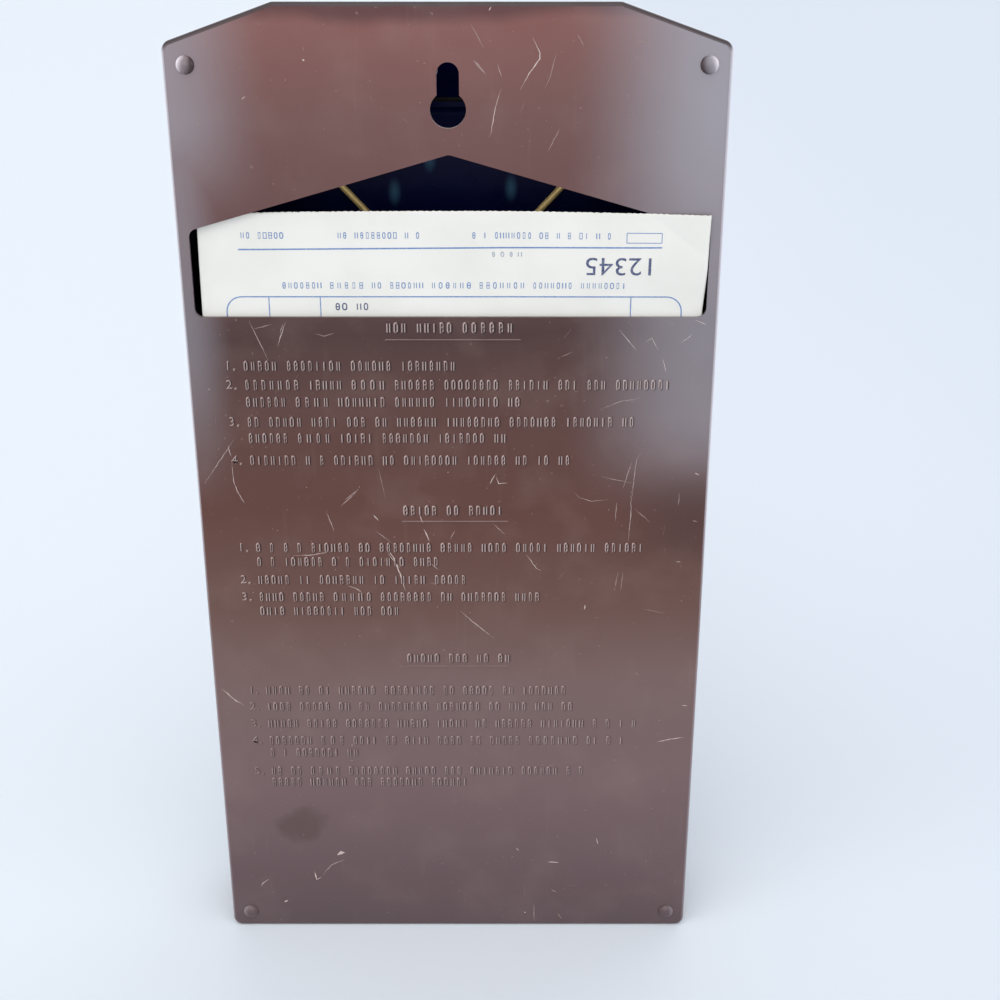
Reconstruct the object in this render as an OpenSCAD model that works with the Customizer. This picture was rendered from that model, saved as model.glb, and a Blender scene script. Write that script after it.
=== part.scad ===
// Autographic register: a shallow sheet-steel case that holds a pack of numbered forms.
// The forms are written on through the cover, pulled out over the front end and torn off.
// The case stands on its front end. +Z runs from the front end to the rear, +Y from the
// underside to the cover, and +X is the right side as the underside is looked at.
// Lengths along the case are measured from the front end and heights from the underside.

/* [Forms] */
// Width of a form
form_w = 139.7; // [120:0.1:160]
// Length of a form between its two perforations
form_l = 215.9; // [200:0.1:230]
// Thickness of one sheet of a form set
sheet_t = 0.25; // [0.15:0.05:0.3]
// Diameter of the holes that the pins hold the form by
form_hole_d = 5; // [4.6:0.1:6]

/* [Case] */
// Room inside the case at each side of a form
side_room = 3.1; // [3:0.05:4]
// Length of the base in front of the last form
front_room = 20.1; // [16:0.1:24]
// Length of the base behind the last form
rear_room = 54.5; // [52:0.1:60]
// Height of the joint between the base and the cover
base_h = 29.5; // [28.5:0.1:32]
// Height of the top of the cover
cover_h = 36; // [35.5:0.1:40]
// Thickness of the side and end walls
wall_t = 1.2; // [1:0.1:1.6]
// Thickness of the floor
floor_t = 1.2; // [1:0.1:1.6]
// Thickness of the cover's deck
deck_t = 1.2; // [1:0.1:1.6]
// Radius of the rounded edge round the underside
edge_r = 1.2; // [0.6:0.1:1.5]
// Radius of the rounded edge round the cover's deck
cover_edge_r = 1.6; // [1:0.1:1.8]
// Radius of the corners at the front end
corner_r = 3; // [2:0.5:6]
// Radius of the four blunt corners at the rear end
rear_corner_r = 3; // [1:0.5:6]
// Width that each cut rear corner takes off the end
rear_cut_w = 29.15; // [24:0.05:36]
// Length that each cut rear corner takes off the side
rear_cut_l = 10.2; // [6:0.2:16]
// Forward lean of the rear walls, for each unit of height
rear_lean = 0.12; // [0.08:0.01:0.16]
// Height of the base's front wall
front_wall_h = 28.4; // [26:0.1:28.4]

/* [Feet] */
// Diameter of each pressed foot
foot_d = 4.3; // [3:0.1:6]
// Height of each pressed foot
foot_h = 1; // [0.6:0.1:1.6]
// Distance from a side wall's face to the middle of a foot
foot_side = 6.1; // [5:0.1:8]
// Distance from the front end to the middle of the front feet
foot_front = 5.7; // [5:0.1:9]
// Distance from the rear end to the middle of the rear feet
foot_rear = 15.7; // [14.5:0.1:20]

/* [Keyhole and underside opening] */
// Diameter of the keyhole's round end
keyhole_d = 9.54; // [8:0.01:11]
// Width of the keyhole's slot
keyhole_slot_w = 5.94; // [5:0.01:7]
// Distance from the keyhole's round centre to the rear end
keyhole_rear = 27.2; // [26:0.1:30]
// Distance from the keyhole's round centre to the centre of the slot's end
keyhole_drop = 9.2; // [8:0.1:11]
// Width of the floor beside the five-sided opening
opening_side_w = 3.45; // [3.2:0.05:12]
// Length of the last form that shows in the opening
opening_shows = 28.9; // [20:0.1:34]
// Length of the opening's straight sides
opening_side_l = 24.2; // [16:0.1:27]
// Rise of the opening's slanted edges from the sides to the point
opening_rise = 20.4; // [12:0.1:22]
// Radius of the opening's corners
opening_r = 2.5; // [1:0.1:4]

/* [Writing plate] */
// Thickness of the writing plate
plate_t = 1.5; // [1:0.1:2]
// How far the writing plate's upper face lies below the top of the base
plate_drop = 0.5; // [0.1:0.1:0.5]
// Length of the space behind the plate, where a form turns round it
turn_room = 28.5; // [26:0.5:34]
// Outer radius of the plate's rolled rear edge
plate_roll_r = 4; // [2.5:0.1:6]
// Width of the ledges that carry the plate
ledge_w = 1.8; // [1.2:0.1:1.8]
// Height of the ledges that carry the plate
ledge_h = 1.6; // [1.2:0.1:3]
// Diameter of the hold-down wire under the plate
wire_d = 1.9; // [1.2:0.1:2.4]
// Length from the wire's point to the last form's rear edge
wire_overlap = 31.8; // [26:0.1:36]
// Angle between the wire's arms and the length of the case
wire_angle = 42.6; // [36:0.1:44]
// Length from the ends of the wire's arms to the plate's rear edge
wire_short = 7; // [7:0.5:14]
// Inner radius of the bend at the wire's point
wire_bend_r = 6; // [3:0.5:10]
// Width of the straps that hold the wire
strap_w = 4; // [3:0.5:6]
// Thickness of the straps that hold the wire
strap_t = 0.6; // [0.4:0.1:0.8]

/* [Release] */
// Length from the front end to the feed pins
pin_at = 48; // [46:0.5:50]
// Distance between the two feed pins
pin_gap = 69.8; // [60:0.2:90]
// Diameter of the feed pins
pin_d = 3.8; // [3:0.1:4.2]
// Height of the pins above the writing plate
pin_rise = 3.5; // [2.5:0.1:3.6]
// Length of the lever from its pins to its shaft
lever_l = 34; // [32:0.5:38]
// Height of the lever's shaft
shaft_h = 20.5; // [19:0.1:21]
// Diameter of the lever's shaft
shaft_d = 4; // [3:0.1:4.4]
// Thickness of the lever's sheet steel
lever_t = 1.2; // [0.8:0.1:1.5]
// Height of the underside of the lever's sheet
lever_h = 22; // [21.8:0.1:22.6]
// Gap between the lever's upright arm and the side wall
arm_gap = 1.6; // [1.2:0.1:1.7]
// Width of the room between the lever's ears and the side walls
ear_room = 14.95; // [14.5:0.05:18]
// Length of the release button
button_l = 18; // [14:0.5:18]
// Width of the release button
button_w = 9.3; // [8:0.1:9.6]
// Height of the release button above the deck of the cover
button_rise = 2; // [2:0.1:3]
// Wire diameter of the lever's springs
spring_wire_d = 0.9; // [0.7:0.05:1]
// Curls in each of the lever's springs
spring_curls = 4; // [3:1:4]
// Length of the legs of the lever's springs
spring_leg = 17; // [14:0.5:20]
// Outer diameter of the lever's springs
spring_d = 7.3; // [6.5:0.1:8]

/* [Front catches] */
// Length from the front end to the line that the cover swings about
swing_at = 6; // [5:0.5:7]
// Height of the line that the cover swings about
swing_h = 10; // [9:0.5:11]
// Furthest angle that the cover swings to
swing_max = 35; // [30:1:35]
// Outer radius of the cover's catch toe about that line
toe_r = 15.5; // [15:0.1:16]
// Thickness of the catch toe
toe_t = 3.5; // [2.5:0.1:4]
// Angle about that line at which the toe's tip lies
toe_tip = 38; // [34:1:42]
// Angle about that line at which the toe meets the cheek
toe_root = 53.5; // [50:0.5:56]

/* [Rear latch] */
// Width of the finger slot in the base's rear wall
latch_slot_w = 24; // [20:0.5:30]
// Height of the slot's lower edge
latch_slot_low = 8; // [7:0.5:10]
// Height of the slot's upper edge
latch_slot_high = 20; // [18:0.5:22]
// Thickness of the latch's spring leaf
leaf_t = 0.8; // [0.5:0.1:1]
// Length of the strip that the latch's leaf is hung from
latch_foot_l = 22; // [16:0.5:24]
// Width of the latch's spring leaf
leaf_w = 20; // [14:0.5:22]
// Depth that the latch's tooth reaches into the rear wall
tooth_bite = 1; // [0.6:0.1:1.2]
// Height of the latch's tooth
tooth_h = 2; // [1.2:0.1:3]

/* [Cover] */
// Width of the cover's border beside the window
border_w = 16.15; // [15.4:0.05:24]
// Length from the front end to the window's front edge
window_front = 62; // [61:0.5:70]
// Length of the cover's border behind the window
border_rear = 48.5; // [42:0.5:60]
// Radius of the window's corners
window_r = 6; // [3:0.5:12]
// Height of the lower edge of the lip round the window
lip_low = 31; // [31:0.1:32]
// Thickness of the lip round the window
lip_t = 1.2; // [1:0.1:1.8]
// Length of the tear bar, from its tearing edge
tear_bar_l = 13.5; // [10:0.5:16]
// Thickness of the tear bar
tear_bar_t = 1; // [0.6:0.1:1.2]
// Gap that the form leaves by, between the writing plate and the tear bar
tear_gap = 1.6; // [1.4:0.1:1.8]
// Length of the form guide round the pins
guide_l = 16; // [14:0.5:18]
// Thickness of the form guide
guide_t = 0.8; // [0.5:0.1:1]
// Diameter of the rivets' shanks
rivet_d = 2.4; // [2:0.1:3]

/* [Clearances] */
// Gap between the base and the cover at their joint
joint_gap = 0.3; // [0.2:0.05:0.4]
// Gap between flat pieces that lie on each other
lie_gap = 0.1; // [0.05:0.05:0.15]
// Gap at each side between the writing plate and the case
side_gap = 0.35; // [0.3:0.05:0.5]
// Radial clearance of the lever and its clips on the shaft
running_gap = 0.05; // [0.02:0.01:0.1]

/* [Hidden] */
$fn = 48;

over = 1;            // how far a cutter runs past what it cuts
skin = 0.01;         // thickness of the outlines that a hulled wall is stretched over
edge_steps = 4;      // flats in a rounded edge
corner_steps = 6;    // flats in a rounded corner
clip_t = 0.8;        // thickness of the shaft's clips
flange_t = 0.7;      // thickness of the flange under the button
flange_w = 0.8;      // width of the flange round the button
button_gap = 0.3;    // gap round the button in the cover's hole
toe_slack = 1.5;     // angle that the toe is free by in its seat
catch_open = 150;    // angle up to which the side walls are cut away
ledge_start = 24;    // where the side ledges start behind the front end
ledge_break = 2;     // gap between a side ledge and the lever's arm
ledge_behind = 6;    // gap between the button and the ledge behind it
front_ledge_in = 8;  // how far the front ledge stays from the side walls
ear_hole_w = 16;     // width of the holes that lighten the lever
ear_hole_l = 10;     // length of the holes that lighten the lever
ear_hole_at = 14;    // how far those holes start behind the lever's front
ear_hole_r = 4;      // corner radius of those holes
slope_end = 60;      // where the cover's sloping front has ended for certain
mouth_l = 20;        // length of the mouth cut under the sloping front

inner_w = form_w + 2 * side_room;
case_w = inner_w + 2 * wall_t;
case_l = front_room + form_l + rear_room;   // from the front end to the rear end, at the underside
half_w = case_w / 2;
half_inner = inner_w / 2;
cover_low = base_h + joint_gap;
plate_top = base_h - plate_drop;
tear_bar_h = plate_top + tear_gap;   // height of the underside of the tear bar and the form guide
deck_low = cover_h - deck_t;
button_top = cover_h + button_rise;
middle_h = (button_top - foot_h) / 2;   // height of the middle of the whole part

plate_low = plate_top - plate_t;
plate_front = wall_t + side_gap;
plate_rear = case_l - turn_room;
plate_bead_h = plate_top - plate_t / 2; // height of the line that the plate swings about
plate_bead_at = plate_front + plate_t / 2;
plate_w = inner_w - 2 * side_gap;
arm_t = lever_t - 0.1;
arm_in = half_inner - arm_gap - arm_t;      // inner face of the lever's upright arm
form_front = front_room;
last_form_rear = form_front + form_l;
opening_w = case_w - 2 * opening_side_w;
opening_front = last_form_rear - opening_shows;
wire_point = last_form_rear - wire_overlap;
wire_rear = plate_rear - wire_short;
window_w = case_w - 2 * border_w;
window_rear = case_l - border_rear;
shaft_at = pin_at + lever_l;
top_form_front = 13.8;                  // the tearing line, under the tear bar's edge
form_hole_at = pin_at - top_form_front; // from a form's lower edge to its holes
button_rear = shaft_at - 6;
button_front = button_rear - button_l;
flange_low = deck_low - 0.3 - flange_t;
button_in = arm_in + arm_t - button_w;
arm_front = button_front - 8;
arm_rear = button_rear - 6;
lever_front = pin_at - 6;
arm_top = deck_low - 1.3;
ear_x = half_inner - ear_room;          // inner face of the lever's ears
ear_r = shaft_d / 2 + 2;
spring_r = (spring_d - spring_wire_d) / 2;
spring_pitch = spring_wire_d + 0.5;
spring_x = ear_x + lever_t + clip_t + 1.4 + spring_wire_d / 2;
peg_at = shaft_at + 14;
peg_r = 1.3;
rear_in = case_l - wall_t;              // inner face of the rear wall at the underside
leaf_back = rear_in - rear_lean * deck_low - 1.2;   // rear face of the latch leaf
leaf_low = latch_slot_low + 0.6;
tooth_top = latch_slot_high - joint_gap;
rivet_gap = form_w * 5 / 12;            // distance from the middle to the outer rivets
mouth_w = form_w + 1.4;                 // width of the mouth that the form leaves by
tear_edge = 13.2;                       // front edge of the tear bar
guide_front = pin_at - guide_l / 2 + 1;

// Y of a height above the underside
function y_of(h) = h - middle_h;

// Unit vector along v
function unit(v) = v / norm(v);

// Points of a circular arc about c, from angle a0 to angle a1
function arc(c, r, a0, a1, n = corner_steps) =
    [for (i = [0:n]) let (a = a0 + (a1 - a0) * i / n) c + r * [cos(a), sin(a)]];

// Points that round the corner p between a and b
function corner(a, p, b, r) =
    let (
        u = unit(a - p),
        v = unit(b - p),
        half = acos(u * v) / 2,
        c = p + unit(u + v) * r / sin(half),
        from = p + u * r / tan(half) - c,
        to = p + v * r / tan(half) - c,
        a0 = atan2(from[1], from[0]),
        turn = atan2(to[1], to[0]) - a0,
        sweep = turn > 180 ? turn - 360 : turn < -180 ? turn + 360 : turn
    )
    arc(c, r, a0, a0 + sweep);

// An outline with each corner rounded by its own radius
function rounded(points, radii) =
    let (n = len(points))
    [for (i = [0:n - 1])
        each (radii[i] > 0
            ? corner(points[(i + n - 1) % n], points[i], points[(i + 1) % n], radii[i])
            : [points[i]])];

// A rectangle from low to high with rounded corners
function rounded_box(low, high, r) =
    rounded([low, [high[0], low[1]], high, [low[0], high[1]]], [r, r, r, r]);

// A point at radius r and angle a about the line that the cover swings about
function swing(r, a) = [swing_h + r * sin(a), swing_at + r * cos(a)];

// Lays a drawing of width and length flat, from height h upwards
module slab(h, t) {
    translate([0, y_of(h) + t, 0])
        rotate([90, 0, 0])
            linear_extrude(t)
                children();
}

// Stands a drawing of height and length on edge, from x upwards
module side_plate(x, t) {
    translate([x, -middle_h, 0])
        rotate([90, 0, 90])
            linear_extrude(t)
                children();
}

// A round rod along X
module rod(x, l, h, at, r) {
    translate([x, y_of(h), at])
        rotate([0, 90, 0])
            cylinder(h = l, r = r);
}

// A round post that rises from height h
module post(x, at, h, l, r) {
    translate([x, y_of(h), at])
        rotate([-90, 0, 0])
            cylinder(h = l, r = r);
}

// Repeats a piece on the left and right sides
module both_sides() {
    for (side = [-1, 1])
        scale([side, 1, 1]) children();
}

// Outline of the case at a height, drawn in by an inset
function case_outline(inset, h) =
    let (
        w = half_w - inset,
        f = half_w - rear_cut_w,
        n = unit([rear_cut_l, rear_cut_w]),
        shift = rear_lean * h,
        rear = case_l - inset - shift,
        cut_x = f - inset * (1 - n[1]) / n[0],
        cut_end = case_l - rear_cut_l - inset * (1 - n[0]) / n[1] - shift,
        r1 = max(corner_r - inset, 0.4),
        r2 = max(rear_corner_r - inset, 0.4)
    )
    rounded(
        [[-w, inset], [w, inset], [w, cut_end], [cut_x, rear], [-cut_x, rear], [-w, cut_end]],
        [r1, r1, r2, r2, r2, r2]
    );

// A convex solid stretched over case outlines, each given as [height, inset]
module case_solid(levels) {
    hull()
        for (level = levels)
            slab(level[0] - (level == levels[len(levels) - 1] ? skin : 0), skin)
                polygon(case_outline(level[1], level[0]));
}

// The base

// The five-sided opening in the underside
module opening_outline() {
    side_top = opening_front + opening_side_l;
    w = opening_w / 2;
    polygon(rounded(
        [[-w, opening_front], [w, opening_front], [w, side_top],
         [0, side_top + opening_rise], [-w, side_top]],
        [opening_r, opening_r, opening_r, opening_r, opening_r]
    ));
}

// The keyhole that the base hangs on a wall by
module keyhole_cut() {
    at = case_l - keyhole_rear;
    post(0, at, -over, floor_t + 2 * over, keyhole_d / 2);
    slab(-over, floor_t + 2 * over)
        translate([-keyhole_slot_w / 2, at])
            square([keyhole_slot_w, keyhole_drop]);
    post(0, at + keyhole_drop, -over, floor_t + 2 * over, keyhole_slot_w / 2);
}

// Radius about the swing line of the base wall's curved front top
rocker_r = toe_r - toe_t - joint_gap;

// A ring about the swing line, from one radius to another
module swing_ring(r_in, r_out) {
    translate([swing_h, swing_at])
        difference() {
            circle(r = r_out, $fn = 96);
            circle(r = r_in, $fn = 96);
        }
}

// A wedge about the swing line, from one angle to another
module swing_wedge(a0, a1) {
    far = 3 * base_h;
    middle = (a0 + a1) / 2;
    polygon([[swing_h, swing_at], swing(far, a0), swing(far, middle), swing(far, a1)]);
}

// What the base's side walls leave free for the cover's cheeks and toes
module cheek_cut() {
    side_plate(half_inner - over, wall_t + 2 * over)
        union() {
            difference() {
                swing_wedge(toe_root - toe_slack, catch_open);
                swing_ring(0, rocker_r);
            }
            intersection() {
                swing_wedge(toe_tip - toe_slack, toe_root);
                swing_ring(rocker_r, toe_r + joint_gap);
            }
        }
}

// A foot with a flat tip and a rounded shoulder
module foot(x, at) {
    r = foot_d / 2;
    translate([x, y_of(0), at])
        rotate([90, 0, 0])
            rotate_extrude()
                polygon(concat(
                    [[0, -floor_t / 2], [r, -floor_t / 2], [r, 0]],
                    [for (i = [1:4]) [r * (1 - 0.45 * (1 - cos(90 * i / 4)) ), foot_h * sin(90 * i / 4)]],
                    [[0, foot_h]]
                ));
}

module base_tray() color("#7A5A55") {
    difference() {
        case_solid(concat(
            [for (i = [0:edge_steps])
                [edge_r * (1 - cos(90 * i / edge_steps)), edge_r * (1 - sin(90 * i / edge_steps))]],
            [[base_h, 0]]
        ));
        case_solid([[floor_t, wall_t + 0.8], [floor_t + 0.8, wall_t], [base_h + over, wall_t]]);
        slab(-over, floor_t + 2 * over)
            opening_outline();
        keyhole_cut();
        // The front wall is lower than the side walls
        slab(front_wall_h, base_h)
            translate([-half_inner, -over])
                square([inner_w, wall_t + 2 * over]);
        both_sides() cheek_cut();
        // The finger slot for the latch
        translate([-latch_slot_w / 2, y_of(latch_slot_low), rear_in - 8])
            cube([latch_slot_w, latch_slot_high - latch_slot_low, 12]);
    }
    for (x = [-1, 1]) {
        foot(x * (half_w - foot_side), foot_front);
        foot(x * (half_w - foot_side), case_l - foot_rear);
    }
    plate_ledges();
    both_sides() {
        shaft_boss();
        spring_peg();
    }
}

// The ledges that carry the writing plate, open where the lever's arm passes
module plate_ledges() {
    top = plate_low - lie_gap;
    both_sides()
        slab(top - ledge_h, ledge_h)
            translate([half_inner - ledge_w, ledge_start])
                square([ledge_w + wall_t / 2, arm_front - ledge_start - ledge_break]);
    both_sides()
        slab(top - ledge_h, ledge_h)
            translate([half_inner - ledge_w, button_rear + ledge_behind])
                square([ledge_w + wall_t / 2, plate_rear - plate_roll_r - button_rear - ledge_behind]);
    slab(top - ledge_h, ledge_h)
        translate([-half_inner + front_ledge_in, wall_t / 2])
            square([inner_w - 2 * front_ledge_in, wall_t / 2 + 2]);
}

// A boss with a blind bore for one end of the shaft
module shaft_boss() {
    boss_l = ledge_w;
    difference() {
        rod(half_inner - boss_l, boss_l + wall_t / 2, shaft_h, shaft_at, shaft_d / 2 + 1.6);
        rod(half_inner - boss_l - over, boss_l + over, shaft_h, shaft_at, shaft_d / 2 + running_gap);
    }
}

// The peg that a spring's fixed leg presses on
module spring_peg() {
    rod(half_inner - 3.4, 3.4 + wall_t / 2, peg_h(), peg_at, peg_r);
}

// The peg lies just under the leg that leaves the bottom of the coil
function peg_h() = shaft_h - spring_r - spring_wire_d / 2 - lie_gap - peg_r;

// The forms

// One sheet of a form that starts at a length, with its holes at another
module form_sheet(front, holes_at, h) {
    slab(h, sheet_t)
        difference() {
            translate([-form_w / 2, front])
                square([form_w, form_l]);
            for (x = [-1, 1])
                translate([x * pin_gap / 2, holes_at])
                    circle(d = form_hole_d);
        }
}

module last_form_original() color("#EFEDE4")
    form_sheet(form_front, last_form_rear - form_hole_at, floor_t + lie_gap);

module last_form_copy() color("#F1E3A8")
    form_sheet(form_front, last_form_rear - form_hole_at, floor_t + 2 * lie_gap + sheet_t);

module top_form_original() color("#EFEDE4")
    form_sheet(top_form_front, pin_at, plate_top + 1.5 * lie_gap + sheet_t);

module top_form_copy() color("#F1E3A8")
    form_sheet(top_form_front, pin_at, plate_top + lie_gap / 2);

// The writing plate

// Outline of the plate, with its slots and the notch that the lever's arm passes
module plate_outline() {
    rear = plate_rear - plate_roll_r;
    difference() {
        translate([-plate_w / 2, plate_bead_at])
            square([plate_w, rear - plate_bead_at]);
        translate([arm_in - 0.5, arm_front - 4])
            square([plate_w, arm_rear - arm_front + 14]);
        for (x = [-1, 1])
            translate([x * pin_gap / 2, pin_at])
                polygon(rounded_box([-pin_d / 2 - 0.7, -pin_d / 2 - 1.5],
                                    [pin_d / 2 + 0.7, pin_d / 2 + 2.5], pin_d / 2));
    }
}

module writing_plate() color("#23252B") {
    rear = plate_rear - plate_roll_r;
    slab(plate_low, plate_t)
        plate_outline();
    rod(-plate_w / 2, plate_w, plate_bead_h, plate_bead_at, plate_t / 2);
    // The rolled rear edge
    side_plate(-plate_w / 2, plate_w)
        intersection() {
            translate([plate_top - plate_roll_r, rear])
                difference() {
                    circle(r = plate_roll_r, $fn = 64);
                    circle(r = plate_roll_r - plate_t, $fn = 64);
                }
            translate([plate_top - plate_roll_r, rear])
                square(plate_roll_r);
        }
}

// Height of the wire's middle, against the plate's underside
wire_h = plate_low - wire_d / 2 - lie_gap;
// Radius of the wire's middle line round its point
wire_mid_r = wire_bend_r + wire_d / 2;
// Where the wire's bend is centred, so that its outer side reaches the V's point
wire_centre = wire_point + wire_mid_r / sin(wire_angle);
wire_arm_l = (wire_rear - wire_point) / cos(wire_angle) - wire_mid_r / tan(wire_angle);

module form_hold_down_wire() color("#B79A4B") {
    translate([0, y_of(wire_h), wire_centre]) {
        both_sides()
            rotate([0, wire_angle, 0])
                translate([wire_mid_r, 0, 0])
                    cylinder(h = wire_arm_l, d = wire_d);
        // The bend at the point, turned so that it runs from one arm to the other
        rotate([90, 0, 0])
            rotate([0, 0, -180 + wire_angle])
                rotate_extrude(angle = 180 - 2 * wire_angle)
                    translate([wire_mid_r, 0])
                        circle(d = wire_d);
    }
}

// A strap over the wire, drawn across it: feet on the plate and a raised middle
module strap(along) {
    w = wire_d / 2 + 0.35 + strap_t;
    drop = wire_d + 2 * lie_gap + strap_t;
    translate([wire_mid_r, 0, along])
        linear_extrude(strap_w)
            difference() {
                union() {
                    translate([-w - 3, -strap_t])
                        square([2 * w + 6, strap_t]);
                    translate([-w, -drop])
                        square([2 * w, drop]);
                }
                translate([-w + strap_t, -drop + strap_t])
                    square([2 * (w - strap_t), drop]);
            }
}

module wire_straps() color("#8C8F94") {
    translate([0, y_of(plate_low) - lie_gap / 2, wire_centre])
        both_sides()
            rotate([0, wire_angle, 0]) {
                strap(6);
                strap(wire_arm_l - strap_w - 6);
            }
}

// The release lever and what turns with it

// The lever's sheet, seen from the cover
module lever_outline() {
    w = ear_x + lever_t;
    difference() {
        union() {
            polygon(rounded_box([-w, lever_front], [w, shaft_at - ear_r - 1.5], 3));
            // The tab that reaches out to the upright arm
            translate([w - 4, arm_front])
                square([arm_in + arm_t - w + 4, arm_rear - arm_front - 8]);
        }
        for (x = [-1, 1])
            translate([x * pin_gap / 2, pin_at])
                circle(d = pin_shank_d + 0.1);
        for (i = [-1.5:1.5])
            translate([i * ear_x * 0.46, 0])
                polygon(rounded_box(
                    [-ear_hole_w / 2, lever_front + ear_hole_at],
                    [ear_hole_w / 2, lever_front + ear_hole_at + ear_hole_l], ear_hole_r));
    }
}

pin_shank_d = 2.6;

module release_lever() color("#9A9CA0") {
    slab(lever_h, lever_t)
        lever_outline();
    both_sides()
        lever_ear();
    // The upright arm at the right side, which the button presses on
    side_plate(arm_in, arm_t)
        polygon(rounded(
            [[lever_h, arm_front], [arm_top, button_front + 4],
             [arm_top, arm_rear], [lever_h + 6, arm_rear], [lever_h, arm_rear - 8]],
            [0, 1.5, 1.5, 2, 0]
        ));
}

// One ear that turns on the shaft
module lever_ear() {
    difference() {
        side_plate(ear_x, lever_t)
            union() {
                translate([shaft_h, shaft_at])
                    circle(r = ear_r);
                translate([shaft_h, shaft_at - ear_r - 8])
                    square([lever_h + lever_t - shaft_h, ear_r + 8]);
            }
        rod(ear_x - over, lever_t + 2 * over, shaft_h, shaft_at, shaft_d / 2 + running_gap);
    }
}

// Outline of the button, drawn larger by a margin
module button_outline(grow) {
    polygon(rounded_box([button_in - grow, button_front - grow],
                        [arm_in + arm_t + grow, button_rear + grow], 1 + grow));
}

// The button slides in the cover's hole, and its flange keeps it in and presses on the arm
module release_button() color("#B9B2A4") {
    difference() {
        slab(flange_low, button_top - flange_low)
            button_outline(0);
        for (i = [-2:2])
            rod(button_in - over, button_w + 2 * over, button_top + 0.3,
                (button_front + button_rear) / 2 + 2.6 * i, 0.9);
    }
    slab(flange_low, flange_t)
        button_outline(flange_w);
}

// A feed pin with a domed tip, riveted to the lever
module feed_pin(side) {
    top = plate_top + pin_rise;
    r = pin_d / 2;
    translate([side * pin_gap / 2, y_of(0), pin_at])
        rotate([-90, 0, 0])
            rotate_extrude()
                polygon(concat(
                    [[0, lever_h - 0.8], [2.2, lever_h - 0.8], [2.2, lever_h],
                     [pin_shank_d / 2, lever_h], [pin_shank_d / 2, lever_h + lever_t],
                     [3, lever_h + lever_t], [3, lever_h + lever_t + 0.8],
                     [r, lever_h + lever_t + 0.8]],
                    arc([0, top - r], r, 0, 90)
                ));
}

module left_feed_pin() color("#C9CBCF") feed_pin(-1);

module right_feed_pin() color("#C9CBCF") feed_pin(1);

// The shaft and what is on it

module lever_shaft() color("#B4B6BA") {
    l = inner_w - 1;
    rod(-l / 2, l, shaft_h, shaft_at, shaft_d / 2);
}

module shaft_clips() color("#6F7277")
    both_sides()
        difference() {
            rod(ear_x + lever_t + 0.2, clip_t, shaft_h, shaft_at, shaft_d / 2 + 1.8);
            rod(ear_x, 3 * shaft_d, shaft_h, shaft_at, shaft_d / 2 + 0.02);
            // The mouth that the clip is pushed on by
            translate([ear_x, y_of(shaft_h) - 0.28 * shaft_d, shaft_at])
                cube([3 * shaft_d, 0.56 * shaft_d, 3 * shaft_d]);
        }

// A torsion spring as one tube along a worked-out line

rings_per_curl = 8;
tube_sides = 6;

// Middle line of a spring as [x, height, length], from its moving leg to its fixed leg
function spring_line() =
    let (
        turns = spring_curls * rings_per_curl,
        low = shaft_h - spring_r,
        leg_h = lever_h - spring_wire_d / 2 - lie_gap,
        end_x = spring_x + spring_curls * spring_pitch
    )
    concat(
        [[spring_x, leg_h, shaft_at - spring_leg], [spring_x, leg_h, shaft_at - spring_leg + 5],
         [spring_x, (leg_h + low) / 2 - 0.6, shaft_at - 5.5]],
        [for (i = [0:turns]) let (a = -90 + 360 * i / rings_per_curl)
            [spring_x + spring_pitch * i / rings_per_curl,
             shaft_h + spring_r * sin(a), shaft_at + spring_r * cos(a)]],
        [[end_x, low, shaft_at + 6], [end_x + 0.9, low, shaft_at + 9],
         [half_inner - 1.2, low, peg_at - 1.5], [half_inner - 1.2, low, peg_at + 3]]
    );

// Rings of points round a line, each square to the line there
function tube_points(line, r, n) =
    [for (i = [0:len(line) - 1])
        let (
            a = line[max(i - 1, 0)],
            b = line[min(i + 1, len(line) - 1)],
            t = unit(b - a),
            side = unit(cross(t, [1, 0.13, 0.08])),
            up = cross(side, t)
        )
        for (k = [0:n - 1])
            line[i] + r * (cos(360 * k / n) * side + sin(360 * k / n) * up)];

// Triangles that join the rings and close the ends
function tube_faces(rings, n) =
    concat(
        [for (i = [0:rings - 2], k = [0:n - 1])
            let (a = i * n + k, b = i * n + (k + 1) % n)
            each [[a, b, b + n], [a, b + n, a + n]]],
        [for (k = [1:n - 2]) [0, k + 1, k]],
        [for (k = [1:n - 2]) let (a = (rings - 1) * n) [a, a + k, a + k + 1]]
    );

// Least gap between turns of a line that carries a tube
function least_gap(line, r) =
    min([for (i = [0:len(line) - 1], j = [i + rings_per_curl / 2:1:len(line) - 1])
        norm(line[i] - line[j])]) - 2 * r;

echo("least gap between the curls of a lever spring, mm", least_gap(spring_line(), spring_wire_d / 2));

module lever_spring(side) {
    line = [for (p = spring_line()) [side * p[0], y_of(p[1]), p[2]]];
    faces = tube_faces(len(line), tube_sides);
    polyhedron(
        points = tube_points(line, spring_wire_d / 2, tube_sides),
        faces = faces
    );
}

module left_lever_spring() color("#8E9196") lever_spring(-1);

module right_lever_spring() color("#8E9196") lever_spring(1);

// The cover

// Length at which the cover's sloping front lies, so that it swings clear of the stand
function front_slope(h) =
    swing_at + tan(swing_max) * (h - swing_h) - (swing_at - 0.5) / cos(swing_max) + 0.3;

// Side outline of everything behind the cover's sloping front, drawn in by an inset
module behind_slope(inset) {
    side_plate(-case_w, 2 * case_w)
        polygon([
            [0, front_slope(0) + inset], [slope_end, front_slope(slope_end) + inset],
            [slope_end, case_l + over], [0, case_l + over]
        ]);
}

// Cover outlines, from the joint up to the rounded edge of the deck
function cover_levels(inset, top) = concat(
    [[cover_low - (inset > 0 ? over : 0), inset]],
    [for (i = [0:edge_steps]) let (a = 90 * i / edge_steps)
        [top - cover_edge_r * (1 - sin(a)), inset + cover_edge_r * (1 - cos(a))]]
);

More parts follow.
